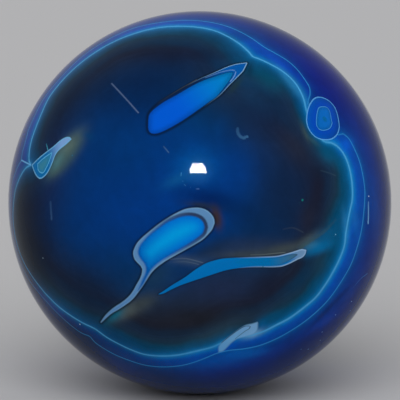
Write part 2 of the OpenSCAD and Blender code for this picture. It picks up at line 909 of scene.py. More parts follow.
RIBBON_HEART = Patch(
    (
        (5.4, -9.35), (6.6, -9.0), (7.87, -8.82), (9.75, -8.72), (11.0, -8.67), (12.3, -8.62),
        (13.35, -8.42), (14.45, -8.17), (15.45, -8.08),
    ),
    (
        (5.4, -9.35), (6.6, -9.75), (7.87, -9.88), (9.75, -9.93), (11.0, -9.94), (12.3, -9.78),
        (13.25, -9.4), (14.35, -8.85), (15.45, -8.08),
    ),
    shade(0, 113, 178),
    shade(62, 110, 140),
    Rim(shade(48, 78, 104), 0.08, -0.8, 0.9),
    turn=(0.5, 1.0),
    soft=0.12,
)

SEAM = Patch(
    (
        (2.95, -23.45), (2.95, -22.65), (3.55, -21.85), (4.4, -21.15), (5.35, -20.45),
        (6.3, -19.75), (7.25, -19.2), (8.2, -19.0), (9.1, -18.7),
    ),
    (
        (2.95, -23.45), (3.6, -23.3), (4.2, -22.8), (5.0, -21.95), (5.9, -21.35), (7.1, -21.0),
        (8.3, -20.6), (9.0, -19.9), (9.1, -18.7),
    ),
    shade(108, 176, 226),
    shade(130, 184, 230),
    Rim(shade(60, 96, 135), 0.07, 0.2, 0.0),
    cover=0.88,
    soft=0.2,
)

FRONT_SWELLS = (
    Swell(Cloud((17.5, 9.0), (5.0, 6.0), -30.0), 2.3),
    Swell(Cloud((19.0, 1.0), (4.0, 6.0)), -1.5),
    Swell(Cloud((2.0, -19.0), (8.0, 4.0)), 0.4),
    Swell(Cloud((17.0, -5.0), (4.0, 4.5)), -1.0),
    Swell(Cloud((-14.0, -17.0), (8.0, 4.0), -35.0), -0.8),
    Swell(Cloud((4.5, 20.5), (6.0, 4.5), -15.0), -1.5),
)

# The front's soft areas of colour, some of them painted light and shade, laid over each other in
# this order.
FRONT_VEILS = (
    Veil(Cloud((19.6, 19.6), (8.6, 4.2), -45.0), shade(0, 20, 126), 0.88),
    Veil(Cloud((-14.0, -22.6), (9.0, 2.4), -28.0), shade(0, 46, 92), 0.75),
    # Darker over the lower left: partly the stone's own tone, partly painted shade of that side.
    Veil(Cloud((-19.3, -22.0), (9.0, 2.6), -45.0, 3.0), shade(0, 26, 52), 0.85),
    Veil(Cloud((-5.0, -28.0), (9.0, 2.6), -8.0), shade(2, 36, 74), 0.7),
    Veil(Cloud((-19.5, 17.5), (8.0, 4.0), 44.0), shade(6, 34, 62), 0.5),
    Veil(Cloud((-3.0, 25.6), (12.0, 1.3), 3.0, 3.0), shade(0, 50, 80), 0.5),
    Veil(Cloud((4.5, 21.5), (6.0, 3.2), -25.0), shade(8, 54, 92), 0.6),
    Veil(Cloud((-6.0, 20.8), (9.0, 3.0), 5.0), shade(7, 38, 74), 0.5),
    # Darker along the left edge: partly the stone's own tone, partly painted shade of that side.
    Veil(Cloud((-27.0, -6.0), (5.4, 13.0), 0.0, 3.0), shade(7, 18, 26), 0.92),
    Veil(Cloud((-22.0, 13.4), (6.5, 2.0), 56.0, 2.5), shade(6, 22, 36), 0.7),
    Veil(Cloud((-10.0, 17.0), (10.0, 5.0), 22.0, 3.0), shade(4, 31, 70), 0.8),
    Veil(Cloud((-4.5, 23.3), (8.5, 1.4), 0.0), shade(16, 25, 50), 0.7),
    Veil(Cloud((-15.0, 1.0), (9.5, 12.0), 0.0, 3.0), shade(0, 49, 112), 0.85),
    Veil(Cloud((-8.0, -3.0), (9.0, 8.0)), shade(0, 54, 128), 0.85),
    Veil(Cloud((4.5, 4.5), (6.5, 6.0)), shade(0, 56, 132), 0.85),
    Veil(Cloud((-11.0, 9.0), (7.0, 5.0)), shade(0, 51, 110), 0.7),
    # Painted glow of the key light round the highlight, and a painted smudge of its reflection to
    # its lower left.
    Veil(Cloud((-0.6, 5.6), (3.2, 2.6)), shade(0, 92, 166), 0.6),
    Veil(Cloud((-3.6, 3.6), (2.4, 0.9), 27.0), shade(14, 92, 150), 0.55),
    Veil(Cloud((1.5, 0.6), (4.5, 1.7), -12.0), shade(0, 28, 84), 0.8),
    Veil(Cloud((6.0, -1.2), (3.5, 1.8), -20.0), shade(0, 36, 84), 0.7),
    Veil(Cloud((14.0, 0.5), (6.0, 9.5), 0.0, 3.0), shade(14, 35, 68), 0.8),
    Veil(Cloud((10.0, 14.0), (4.8, 4.5), -35.0), shade(15, 35, 67), 0.85),
    Veil(Cloud((15.4, 8.6), (3.4, 2.0), -50.0), shade(35, 42, 62), 0.75),
    Veil(Cloud((18.5, 1.6), (1.1, 5.0)), shade(25, 28, 47), 0.8),
    Veil(Cloud((17.0, -2.6), (1.5, 3.2), -10.0), shade(34, 36, 52), 0.7),
    Veil(Cloud((-11.0, -10.6), (6.0, 4.0), -20.0), shade(7, 48, 90), 0.6),
    Veil(Cloud((-17.5, -14.3), (7.0, 3.5), -40.0), shade(14, 33, 57), 0.7),
    Veil(Cloud((9.0, -4.2), (5.0, 2.6)), shade(7, 41, 82), 0.7),
    Veil(Cloud((2.0, -7.4), (4.0, 1.2), 20.0), shade(10, 34, 62), 0.7),
    Veil(Cloud((3.5, -13.4), (7.5, 2.6), 6.0), shade(32, 46, 78), 0.85),
    Veil(Cloud((-4.0, -16.2), (4.5, 2.0), 15.0), shade(34, 46, 66), 0.6),
    Veil(Cloud((-1.0, -18.2), (9.0, 2.0)), shade(32, 35, 45), 0.85),
    Veil(Cloud((10.4, -13.2), (3.4, 1.7), 38.0), shade(23, 29, 49), 0.8),
    Veil(Cloud((-11.3, -16.9), (2.3, 1.0), 30.0), shade(92, 102, 102), 0.9),
    Veil(Cloud((-8.8, -15.7), (2.4, 1.2), 25.0), shade(62, 72, 74), 0.8),
    Veil(Cloud((-6.9, -11.5), (3.6, 1.9), 38.0), shade(28, 58, 84), 0.7),
    Veil(Cloud((-1.9, -9.1), (3.2, 0.75), -7.0), shade(58, 80, 106), 0.7),
    Veil(Cloud((-13.2, -17.6), (1.7, 0.75), 38.0), shade(0, 102, 128), 0.9),
    Veil(Cloud((8.0, -6.9), (5.5, 1.4), 2.0), shade(42, 53, 72), 0.6),
    Veil(Cloud((7.0, -8.2), (5.0, 0.75), 2.0), shade(58, 68, 74), 0.85),
    Veil(Cloud((13.0, -7.35), (3.8, 0.85), 12.0), shade(66, 76, 78), 0.85),
    Veil(Cloud((16.9, -5.8), (2.2, 0.55), 34.0), shade(72, 86, 90), 0.8),
    Veil(Cloud((19.9, -5.3), (3.0, 1.2), 40.0), shade(4, 92, 140), 0.85),
    Veil(Cloud((18.6, -7.1), (2.6, 0.95), 20.0, 2.5), shade(0, 108, 164), 0.92),
    Veil(Cloud((17.4, -6.75), (1.2, 0.5), 26.0), shade(56, 122, 158), 0.6),
    Veil(Cloud((18.8, -9.9), (1.1, 1.8), -25.0), shade(30, 66, 88), 0.7),
    Veil(Cloud((16.0, -12.2), (3.6, 1.2), 45.0), shade(4, 56, 88), 0.6),
    Veil(Cloud((-21.0, 7.6), (4.2, 1.5), 54.0, 3.0), shade(60, 89, 95), 0.93),
    Veil(Cloud((-20.6, 8.8), (2.4, 0.9), 48.0), shade(92, 112, 104), 0.7),
    Veil(Cloud((-22.7, 5.0), (1.3, 0.6), 40.0), shade(72, 92, 86), 0.6),
    Veil(Cloud((-22.4, 6.3), (1.7, 0.6), 60.0), shade(76, 124, 130), 0.7),
    Veil(Cloud((-17.5, 10.5), (0.9, 0.6), -20.0), shade(0, 60, 108), 0.7),
    Veil(Cloud((6.3, -23.8), (3.8, 0.8), 8.0, 3.0), shade(0, 100, 192), 0.9),
    Veil(Cloud((2.5, -24.9), (4.5, 1.1), 6.0), shade(0, 84, 178), 0.8),
    Veil(Cloud((8.6, -20.5), (1.6, 0.5), 22.0), shade(130, 180, 225), 0.8),
    Veil(Cloud((9.9, -19.2), (1.0, 0.9), 30.0), shade(0, 104, 170), 0.7),
    Veil(Cloud((20.3, 7.4), (2.4, 1.2), -40.0), shade(0, 88, 128), 0.7),
    Veil(Cloud((10.8, 19.3), (3.2, 1.5), -32.0), shade(0, 78, 106), 0.7),
    Veil(Cloud((14.2, 19.0), (4.2, 0.65), -52.0), shade(48, 144, 200), 0.55),
    Veil(Cloud((7.8, 17.4), (4.5, 1.8), -35.0), shade(14, 60, 98), 0.45),
    Veil(Cloud((3.0, -20.2), (5.5, 1.3), 22.0), shade(46, 76, 96), 0.5),
    Veil(Cloud((14.2, -24.0), (6.0, 1.5), 32.0), shade(0, 34, 92), 0.55),
    # Painted shadow just beside the lens's tip.
    Veil(Cloud((7.9, 21.0), (0.5, 1.1), -10.0), shade(8, 30, 44), 0.5),
    Veil(Cloud((5.6, 18.4), (1.6, 0.45), 50.0), shade(34, 56, 50), 0.6),
    Veil(Cloud((16.5, 11.0), (0.32, 1.5), 20.0), shade(66, 86, 86), 0.55),
    Veil(Cloud((17.8, 9.7), (1.2, 0.32), -40.0), shade(56, 92, 98), 0.5),
    Veil(Cloud((2.6, -2.4), (0.85, 1.8), 12.0, 3.0), shade(60, 44, 30), 0.9),
    Veil(Cloud((0.4, -0.5), (2.4, 0.5), -8.0), shade(36, 44, 40), 0.8),
    Veil(Cloud((27.4, -0.6), (0.9, 5.0), 2.0), shade(0, 70, 160), 0.6),
    Veil(Cloud((10.8, -18.1), (1.9, 0.8), 25.0), shade(0, 90, 136), 0.6),
    Veil(Cloud((24.2, -2.4), (0.7, 2.2), 6.0), shade(24, 124, 206), 0.5),
    Veil(Cloud((22.9, -3.6), (0.45, 2.2), 8.0), shade(50, 142, 208), 0.45),
    Veil(Cloud((19.7, -18.4), (2.8, 0.7), 36.0, 3.0), shade(0, 62, 168), 0.6),
    Veil(Cloud((23.6, -13.6), (3.6, 0.7), 55.0, 3.0), shade(0, 58, 150), 0.55),
    Veil(Cloud((20.6, -16.2), (4.6, 0.35), 46.0, 3.0), shade(0, 22, 72), 0.5),
    Veil(Cloud((12.2, 22.2), (4.0, 0.6), -38.0), shade(0, 66, 196), 0.6),
    Veil(Cloud((22.9, 8.9), (0.9, 1.3), -40.0), shade(0, 98, 222), 0.6),
)

FRONT_HAIRS = (
    Hair(
        (
            (0.8, 19.55), (1.9, 19.97), (2.85, 20.33), (3.8, 20.6), (4.75, 20.77), (5.4, 20.78),
            (5.63, 20.6), (5.57, 20.15), (5.2, 19.5), (4.7, 18.9),
        ),
        shade(110, 155, 210),
        0.09,
        0.3,
        1.0,
    ),
    Hair(
        ((-6.6, 15.6), (-3.2, 17.75), (-0.5, 19.3)),
        shade(80, 84, 84),
        0.08,
        0.1,
        0.6,
        HairLayer.TOP,
    ),
    Hair(((-27.98, 6.65), (-27.2, 6.25), (-26.5, 5.9)), THIN_PALE, 0.14),
    Hair(((-24.1, 9.25), (-23.95, 8.75), (-23.84, 8.25)), shade(60, 150, 175), 0.14, 0.4, 0.9),
    Hair(((-13.85, 18.71), (-11.7, 16.4), (-9.6, 14.05)), shade(88, 108, 145), 0.15, 0.6, 0.7),
    Hair(((-5.7, 8.82), (-5.2, 8.25), (-4.86, 7.8)), shade(60, 95, 140), 0.13, 0.5, 0.9),
    Hair(
        ((5.95, 11.6), (5.95, 10.95), (6.35, 10.35), (6.9, 10.12), (7.45, 10.35)),
        shade(54, 100, 144),
        0.3,
        0.4,
        0.8,
    ),
    # Painted reflections of two tall lamps: faint streaks near the ball's left and right edges.
    Hair(((-23.42, 0.1), (-23.35, -1.2), (-23.26, -2.55)), shade(44, 78, 122), 0.3, 0.5, 0.8),
    Hair(((26.46, 0.0), (26.45, -1.6), (26.41, -3.2)), shade(120, 185, 235), 0.24, 0.4, 0.9),
    Hair(((-4.6, -8.9), (-2.4, -8.75), (0.6, -9.45)), GREY, 0.11, 0.2, 0.55),
    Hair(((-4.3, -9.35), (-2.0, -9.3), (0.0, -9.75)), GREY, 0.1, 0.1, 0.4, HairLayer.TOP),
    Hair(
        ((7.9, -8.2), (9.8, -8.15), (11.4, -8.0), (13.4, -7.8)),
        shade(112, 124, 122),
        0.1,
        0.2,
        0.6,
    ),
    Hair(((13.0, -4.2), (14.6, -3.95), (16.3, -4.7)), shade(58, 70, 88), 0.14, 0.2, 0.45),
    Hair(
        ((15.9, -7.0), (17.6, -5.9), (19.8, -4.3), (21.3, -2.7)),
        shade(66, 90, 84),
        0.35,
        0.5,
        0.1,
    ),
    Hair(((18.9, 5.05), (20.1, 4.7), (21.4, 4.2)), shade(60, 88, 106), 0.12, 0.2, 0.35),
    # A painted reflection: a small pale dash that belongs to the highlight.
    Hair(((-0.6, 2.15), (0.0, 2.15)), shade(70, 110, 175), 0.12, 0.6, 0.6),
    Hair(
        ((3.4, -22.0), (4.56, -21.04), (6.04, -19.98), (7.09, -19.4), (7.9, -19.35)),
        shade(56, 84, 118),
        0.09,
        0.9,
        0.9,
    ),
    Hair(
        ((7.9, -19.4), (7.85, -19.7), (7.2, -20.1), (6.2, -20.85), (5.5, -21.4)),
        shade(56, 84, 118),
        0.09,
        0.9,
        0.6,
        HairLayer.TOP,
    ),
    Hair(((24.0, -13.4), (25.2, -12.0), (26.3, -11.1)), shade(60, 140, 215), 0.1, 0.1, 0.6),
    # Scratches beside the highlight, painted pale as they catch its light.
    Hair(((-2.95, 4.2), (-2.9, 4.65)), shade(60, 140, 200), 0.1, 0.5, 0.7),
    Hair(((-2.55, 3.0), (-2.2, 2.6)), shade(60, 130, 190), 0.1, 0.5, 0.3),
)

FRONT_SPECKS = (
    Speck((19.6, 13.1), shade(0, 100, 150), 0.5, 0.7),
    Speck((16.1, 0.4), shade(20, 110, 110), 0.2),
    Speck((26.5, 1.0), shade(190, 220, 245), 0.13),
    Speck((21.3, -5.0), shade(120, 190, 225), 0.11),
    Speck((23.8, -15.5), DUST, 0.12),
    Speck((21.3, -17.6), DUST, 0.11),
    Speck((19.2, -20.3), shade(110, 160, 225), 0.12),
    Speck((17.0, -23.0), shade(90, 150, 220), 0.13),
    Speck((18.9, -21.6), shade(90, 150, 220), 0.1),
    Speck((15.9, -23.0), shade(90, 150, 220), 0.1),
    Speck((23.6, -17.0), shade(90, 150, 220), 0.1),
    Speck((-18.8, -19.1), shade(190, 220, 240), 0.12),
    Speck((-24.6, -8.7), shade(110, 130, 150), 0.13),
    Speck((9.9, -10.1), shade(30, 90, 110), 0.14),
    Speck((-20.0, 7.4), shade(30, 110, 150), 0.12, 0.8),
)

FRONT_PATTERN = Pattern(
    FRONT,
    inner=(FRONT_INNER,),
    outer=(FRONT_OUTER,),
    shells=(EYE, KITE, LENS, POOL, RIBBON, SEAM),
    hearts=(EYE_HEART, KITE_HEART, LENS_HEART, POOL_HEART, RIBBON_HEART),
    swells=FRONT_SWELLS,
    veils=FRONT_VEILS,
    hairs=FRONT_HAIRS,
    specks=FRONT_SPECKS,
)

BACK_INNER = Loop(
    (
        Run(
            ring(
                (0.5, -2.0),
                (
                    21.6, 22.4, 22.9, 22.2, 20.6, 19.3, 20.0, 21.4, 22.6, 23.1, 22.8, 21.9, 21.2,
                    21.0, 21.9, 23.0, 23.8, 24.2, 23.6, 22.4, 20.9, 20.4, 20.9, 21.4,
                ),
            ),
        ),
    ),
)

BACK_OUTER = Loop(
    (
        Run(
            ring(
                (0.5, -2.0),
                (
                    24.0, 24.9, 25.3, 24.7, 23.1, 21.5, 22.0, 23.7, 25.1, 25.8, 25.4, 24.4, 23.5,
                    23.2, 24.1, 25.2, 26.0, 26.4, 26.1, 25.0, 23.3, 22.6, 23.0, 23.6,
                ),
            ),
            0.75,
        ),
    ),
)

BACK_SPINDLE = Patch(
    (
        (1.6, -9.0), (3.2, -7.2), (5.6, -5.6), (8.6, -4.0), (11.6, -2.9), (14.2, -2.2),
        (16.6, -2.0),
    ),
    (
        (1.6, -9.0), (3.0, -9.9), (5.6, -9.4), (8.8, -7.9), (11.8, -5.9), (14.4, -3.9),
        (16.6, -2.0),
    ),
    ROYAL,
    shade(0, 84, 190),
    Rim(shade(130, 178, 220), 0.11, 0.2, 1.3),
    turn=(0.5, 0.9),
    painted_shadow=0.75,
    painted_shadow_reach=0.5,
)

BACK_SPINDLE_HEART = Patch(
    (
        (1.9, -8.9), (3.4, -7.5), (5.7, -6.0), (8.5, -4.6), (11.2, -3.6), (13.9, -3.0),
    ),
    (
        (1.9, -8.9), (3.1, -9.55), (5.5, -9.0), (8.5, -7.5), (11.3, -5.6), (13.9, -3.0),
    ),
    shade(0, 104, 216),
    shade(0, 132, 204),
    Rim(DARK_RIM_AND_SHADOW, 0.07, 0.4, 0.6),
    turn=(0.2, 0.9),
    soft=0.1,
)

BACK_POOL = Patch(
    (
        (-14.6, 1.2), (-14.2, 3.6), (-12.6, 6.2), (-10.2, 8.4), (-7.4, 9.9), (-4.4, 10.6),
        (-1.8, 10.2), (-0.2, 8.9), (0.2, 7.4),
    ),
    (
        (-14.6, 1.2), (-13.9, -0.4), (-12.2, -1.0), (-10.4, -0.2), (-9.0, 1.6), (-7.6, 3.4),
        (-5.4, 4.5), (-2.8, 5.0), (-0.8, 5.9), (0.2, 7.4),
    ),
    shade(98, 148, 200),
    shade(92, 134, 182),
    Rim(shade(136, 182, 224), 0.15, 0.8, 0.9),
    painted_shadow=0.85,
    painted_shadow_reach=0.6,
)

BACK_POOL_HEART = Patch(
    (
        (-13.8, 1.4), (-13.3, 3.4), (-11.8, 5.6), (-9.6, 7.6), (-7.0, 8.9), (-4.3, 9.5),
        (-2.2, 9.1), (-1.1, 8.1), (-0.9, 7.2),
    ),
    (
        (-13.8, 1.4), (-13.2, 0.2), (-12.1, -0.1), (-10.9, 0.7), (-9.5, 2.4), (-7.9, 4.2),
        (-5.5, 5.3), (-3.0, 5.8), (-1.6, 6.3), (-0.9, 7.2),
    ),
    shade(0, 104, 200),
    shade(0, 108, 206),
    Rim(SLATE, 0.14, 0.5, 0.7),
    middle=LAGOON,
    depth=2.0,
    soft=0.2,
)

BACK_RIBBON = Patch(
    (
        (-15.8, -9.6), (-13.4, -9.0), (-10.8, -9.6), (-8.0, -11.2), (-5.2, -13.4), (-2.2, -15.2),
        (0.6, -16.0),
    ),
    (
        (-15.8, -9.6), (-13.6, -10.5), (-11.0, -11.4), (-8.4, -13.2), (-5.6, -15.2), (-2.6, -16.4),
        (0.6, -16.0),
    ),
    shade(136, 184, 224),
    shade(0, 118, 192),
    Rim(shade(150, 188, 225), 0.13, 1.4, -0.6),
    turn=(0.1, 0.4),
    painted_shadow=0.5,
    painted_shadow_reach=0.4,
)

BACK_VEILS = (
    Veil(Cloud((0.5, -2.0), (15.0, 15.0), 0.0, 3.0), NAVY, 0.5),
    Veil(Cloud((4.0, 2.0), (8.0, 6.0), 20.0), CORE_BLUE, 0.8),
    Veil(Cloud((-7.0, -4.0), (7.0, 5.0), -30.0), shade(0, 52, 120), 0.7),
    Veil(Cloud((9.0, 11.0), (6.0, 3.5), -40.0), SMOKE, 0.7),
    Veil(Cloud((-3.0, 15.2), (7.0, 2.2), 4.0), shade(30, 36, 50), 0.75),
    Veil(Cloud((3.0, -18.5), (8.0, 2.6), -4.0), shade(30, 35, 47), 0.8),
    Veil(Cloud((-17.0, 4.0), (2.2, 7.0), 8.0), SMOKE, 0.7),
    Veil(Cloud((16.5, -9.0), (3.0, 5.0), -20.0), shade(28, 40, 62), 0.7),
    Veil(Cloud((1.2, 5.6), (2.4, 1.0), -50.0), shade(64, 52, 40), 0.7),
    Veil(Cloud((7.6, -10.4), (4.2, 0.9), 26.0), TAN, 0.7),
    Veil(Cloud((-12.8, -12.4), (3.6, 1.1), -24.0), TAN, 0.8),
    Veil(Cloud((-5.0, -17.6), (3.0, 1.0), -28.0), TEAL, 0.6),
    Veil(Cloud((17.6, -1.4), (2.6, 1.0), 10.0), TEAL, 0.9),
    Veil(Cloud((-16.0, -15.5), (5.0, 2.4), -40.0), shade(0, 70, 150), 0.5),
)

BACK_HAIRS = (
    Hair(
        (
            (0.4, 4.9), (2.2, 6.2), (4.8, 6.4), (7.6, 5.4), (9.8, 3.2), (10.6, 0.6), (9.4, -1.2),
        ),
        shade(24, 88, 156),
        0.12,
        0.1,
        0.8,
    ),
    Hair(
        ((2.6, 4.4), (4.8, 4.8), (6.8, 3.9), (8.2, 2.2), (8.4, 0.6)),
        shade(24, 88, 156),
        0.1,
        0.6,
        0.1,
        HairLayer.TOP,
    ),
    Hair(((11.8, 6.6), (13.4, 4.4), (14.4, 2.4)), shade(88, 108, 145), 0.14, 0.4, 0.7),
    Hair(((-4.0, -6.4), (-3.1, -7.5), (-2.6, -8.8)), shade(60, 95, 140), 0.13, 0.5, 0.9),
    Hair(((-17.6, -3.0), (-17.9, -5.0), (-17.5, -6.8)), shade(60, 92, 130), 0.16, 0.3, 0.6),
    Hair(((5.4, -12.8), (8.0, -12.2), (10.8, -10.9)), GREY, 0.1, 0.2, 0.6),
)

BACK_PATTERN = Pattern(
    BACK,
    inner=(BACK_INNER,),
    outer=(BACK_OUTER,),
    shells=(
        BACK_SPINDLE,
        BACK_POOL,
        BACK_RIBBON,
        eye((-19.2, 10.6), (2.9, 2.3), 60.0),
        eye((15.2, 16.6), (2.1, 1.5), -45.0),
    ),
    hearts=(
        BACK_SPINDLE_HEART,
        BACK_POOL_HEART,
        eye_heart((-19.2, 10.6), (1.6, 1.05), 60.0),
        eye_heart((15.2, 16.6), (1.1, 0.7), -45.0),
    ),
    swells=(
        Swell(Cloud((-9.0, 15.0), (6.0, 4.0), 20.0), -1.2),
        Swell(Cloud((15.0, 4.0), (4.0, 6.0)), 1.4),
        Swell(Cloud((5.0, -20.0), (8.0, 4.0)), 1.0),
        Swell(Cloud((-16.0, -8.0), (4.0, 6.0), 20.0), -1.0),
    ),
    veils=BACK_VEILS,
    hairs=BACK_HAIRS,
    specks=(
        Speck((9.6, 7.4), shade(20, 110, 110), 0.2),
        Speck((-11.0, -6.0), shade(110, 150, 190), 0.12),
        Speck((6.2, -15.0), shade(120, 190, 225), 0.11),
        Speck((-19.2, 10.6), PUPIL, 0.3, 0.8),
    ),
)

RIGHT_PATTERN = Pattern(
    RIGHT,
    shells=(
        eye((2.2, 8.6), (3.4, 2.3), 74.0),
        Patch(
            (
                (-3.6, -14.6), (-2.6, -11.4), (-0.8, -8.2), (1.6, -5.2), (4.2, -3.0), (6.2, -2.0),
            ),
            (
                (-3.6, -14.6), (-1.4, -12.8), (1.0, -10.4), (3.4, -7.4), (5.2, -4.4), (6.2, -2.0),
            ),
            shade(0, 92, 196),
            shade(0, 128, 206),
            Rim(shade(120, 178, 222), 0.12, 0.9, 0.9),
            painted_shadow=0.5,
            painted_shadow_reach=0.5,
        ),
    ),
    hearts=(eye_heart((2.2, 8.6), (1.8, 1.05), 74.0),),
    veils=(
        Veil(Cloud((2.0, 0.0), (6.0, 20.0), 0.0, 3.0), shade(0, 34, 104), 0.5),
        Veil(Cloud((4.6, 14.6), (3.6, 3.0)), INK, 0.6),
        Veil(Cloud((-1.0, -20.0), (7.0, 2.4), -20.0), shade(0, 70, 158), 0.5),
        Veil(Cloud((6.4, 2.0), (1.2, 4.6), 12.0), shade(0, 74, 164), 0.6),
        Veil(Cloud((-2.4, 2.0), (1.0, 6.0), -8.0), shade(0, 62, 150), 0.5),
    ),
    hairs=(
        *strata((-2.2, 18.0), (-3.6, 4.0), (-4.4, -9.0), (-1.4, 0.0), BELT_TINTS[:2]),
        *strata((7.4, -4.6), (8.6, 4.0), (7.0, 13.0), (1.4, 0.2), BELT_TINTS[1:3]),
    ),
    specks=(
        Speck((2.2, 8.6), PUPIL, 0.3, 0.8),
        Speck((5.0, -8.6), DUST, 0.12),
        Speck((-1.6, 3.0), shade(90, 150, 220), 0.11),
    ),
)

LEFT_PATTERN = Pattern(
    LEFT,
    shells=(
        eye((-3.4, -6.4), (3.0, 2.0), 105.0),
        Patch(
            (
                (-5.8, 5.8), (-4.6, 8.6), (-2.2, 10.8), (0.8, 11.8), (3.6, 11.2), (4.8, 9.6),
            ),
            (
                (-5.8, 5.8), (-4.6, 4.6), (-3.0, 5.0), (-1.2, 6.8), (1.2, 7.6), (3.6, 7.8),
                (4.8, 9.6),
            ),
            shade(92, 142, 196),
            shade(92, 134, 182),
            Rim(shade(136, 182, 224), 0.14, 0.8, 0.8),
            painted_shadow=0.6,
            painted_shadow_reach=0.5,
        ),
    ),
    hearts=(
        eye_heart((-3.4, -6.4), (1.6, 0.95), 105.0),
        Patch(
            (
                (-5.1, 6.0), (-4.0, 8.0), (-1.9, 9.9), (0.9, 10.9), (3.1, 10.4), (3.9, 9.5),
            ),
            (
                (-5.1, 6.0), (-4.3, 5.4), (-3.3, 5.9), (-1.5, 7.5), (1.1, 8.4), (3.1, 8.5),
                (3.9, 9.5),
            ),
            shade(0, 100, 196),
            shade(0, 100, 196),
            Rim(SLATE, 0.12, 0.6, 0.6),
            middle=LAGOON,
            depth=1.3,
            soft=0.15,
        ),
    ),
    veils=(
        Veil(Cloud((-1.0, -1.0), (7.0, 20.0), 0.0, 3.0), shade(0, 36, 96), 0.5),
        Veil(Cloud((3.0, -14.0), (6.0, 4.0), 30.0), INK, 0.6),
        Veil(Cloud((1.6, 0.6), (5.0, 1.0), 64.0), shade(0, 70, 156), 0.6),
        Veil(Cloud((-6.6, -14.0), (1.4, 5.0), 14.0), shade(0, 64, 150), 0.6),
    ),
    hairs=(
        *strata((3.4, -15.0), (4.6, -3.0), (6.2, 8.0), (1.5, 0.0), BELT_TINTS[1:]),
        *strata((-9.0, 14.0), (-9.8, 3.0), (-8.6, -8.0), (-1.4, 0.0), BELT_TINTS[:2]),
    ),
    specks=(
        Speck((-3.4, -6.4), PUPIL, 0.28, 0.8),
        Speck((0.8, 2.0), DUST, 0.12),
        Speck((1.8, -10.0), shade(190, 220, 240), 0.12),
    ),
)

TOP_PATTERN = Pattern(
    TOP,
    shells=(eye((-6.0, 2.2), (2.6, 1.7), 20.0),),
    hearts=(eye_heart((-6.0, 2.2), (1.4, 0.8), 20.0),),
    veils=(
        Veil(Cloud((5.0, 0.0), (6.0, 3.0), -8.0), shade(0, 40, 120), 0.6),
        Veil(Cloud((-2.0, 5.6), (7.0, 1.2), 6.0), shade(0, 76, 168), 0.6),
    ),
    hairs=strata((-12.0, 4.4), (0.0, 6.6), (12.0, 4.0), (0.0, -1.5), BELT_TINTS),
    specks=(Speck((4.0, 1.0), DUST, 0.12),),
)

UNDER_PATTERN = Pattern(
    UNDER,
    shells=(
        eye((-3.0, -1.0), (4.2, 3.0), 25.0),
        eye((8.4, 3.0), (2.4, 1.6), -30.0),
    ),
    hearts=(
        eye_heart((-3.0, -1.0), (2.4, 1.5), 25.0),
        eye_heart((8.4, 3.0), (1.3, 0.75), -30.0),
    ),
    veils=(
        Veil(Cloud((0.0, 0.0), (12.0, 8.0), 0.0, 3.0), shade(0, 38, 96), 0.6),
        Veil(Cloud((4.0, -6.0), (7.0, 2.0), 16.0), INK, 0.6),
        Veil(Cloud((-6.0, 6.4), (8.0, 1.4), 10.0), shade(0, 72, 150), 0.6),
    ),
    hairs=(
        *strata((-13.0, 6.0), (-1.0, 8.2), (12.0, 7.6), (0.0, 1.5), BELT_TINTS),
        *strata((-10.0, -6.0), (1.0, -5.2), (11.0, -3.4), (0.0, -1.5), BELT_TINTS[:2]),
    ),
    specks=(Speck((-3.0, -1.0), PUPIL, 0.34, 0.8),),
)

PATTERNS = (
    FRONT_PATTERN,
    BACK_PATTERN,
    RIGHT_PATTERN,
    LEFT_PATTERN,
    TOP_PATTERN,
    UNDER_PATTERN,
)


class Sheet:
    """Patches that lie side by side, kept as their side distances and their colours.

    Near a patch the distances from both its sides are kept, so that its tips stay sharp.
    """

    KEPT_MM = 1.0

    def __init__(self, spots: np.ndarray) -> None:
        """Starts with no patch.

        Args:
            spots: Places on the ball, one row each, in millimetres.
        """
        count = len(spots)
        self.spots = spots
        self.best = np.full(count, -FAR_OFF)
        self.sides = np.full((count, 3), -FAR_OFF)
        # Each patch's edge softness, the strength of its painted shadow and that shadow's reach.
        self.look = np.tile([Patch.soft, Patch.painted_shadow, Patch.painted_shadow_reach], (count, 1))
        self.fill = np.zeros((count, 4))
        self.rim = np.zeros((count, 4))

    def add(self, face: Face, patch: Patch) -> None:
        """Lays one more patch beside the others.

        Args:
            face: The face that the patch is drawn on.
            patch: The patch.
        """
        above, below = patch.sides(face, self.spots)
        inner = np.minimum(above, below)
        here = inner > self.best
        near = (inner > -self.KEPT_MM) & here
        self.best[here] = inner[here]
        self.sides[here, 0] = self.sides[here, 1] = inner[here]
        self.sides[near, 0], self.sides[near, 1] = above[near], below[near]
        self.sides[here, 2] = patch.rim.width
        self.look[here] = (patch.soft, patch.painted_shadow, patch.painted_shadow_reach)
        fill, rim = patch.colours(face, self.spots, inner)
        self.fill[here], self.rim[here] = fill[here], rim[here]


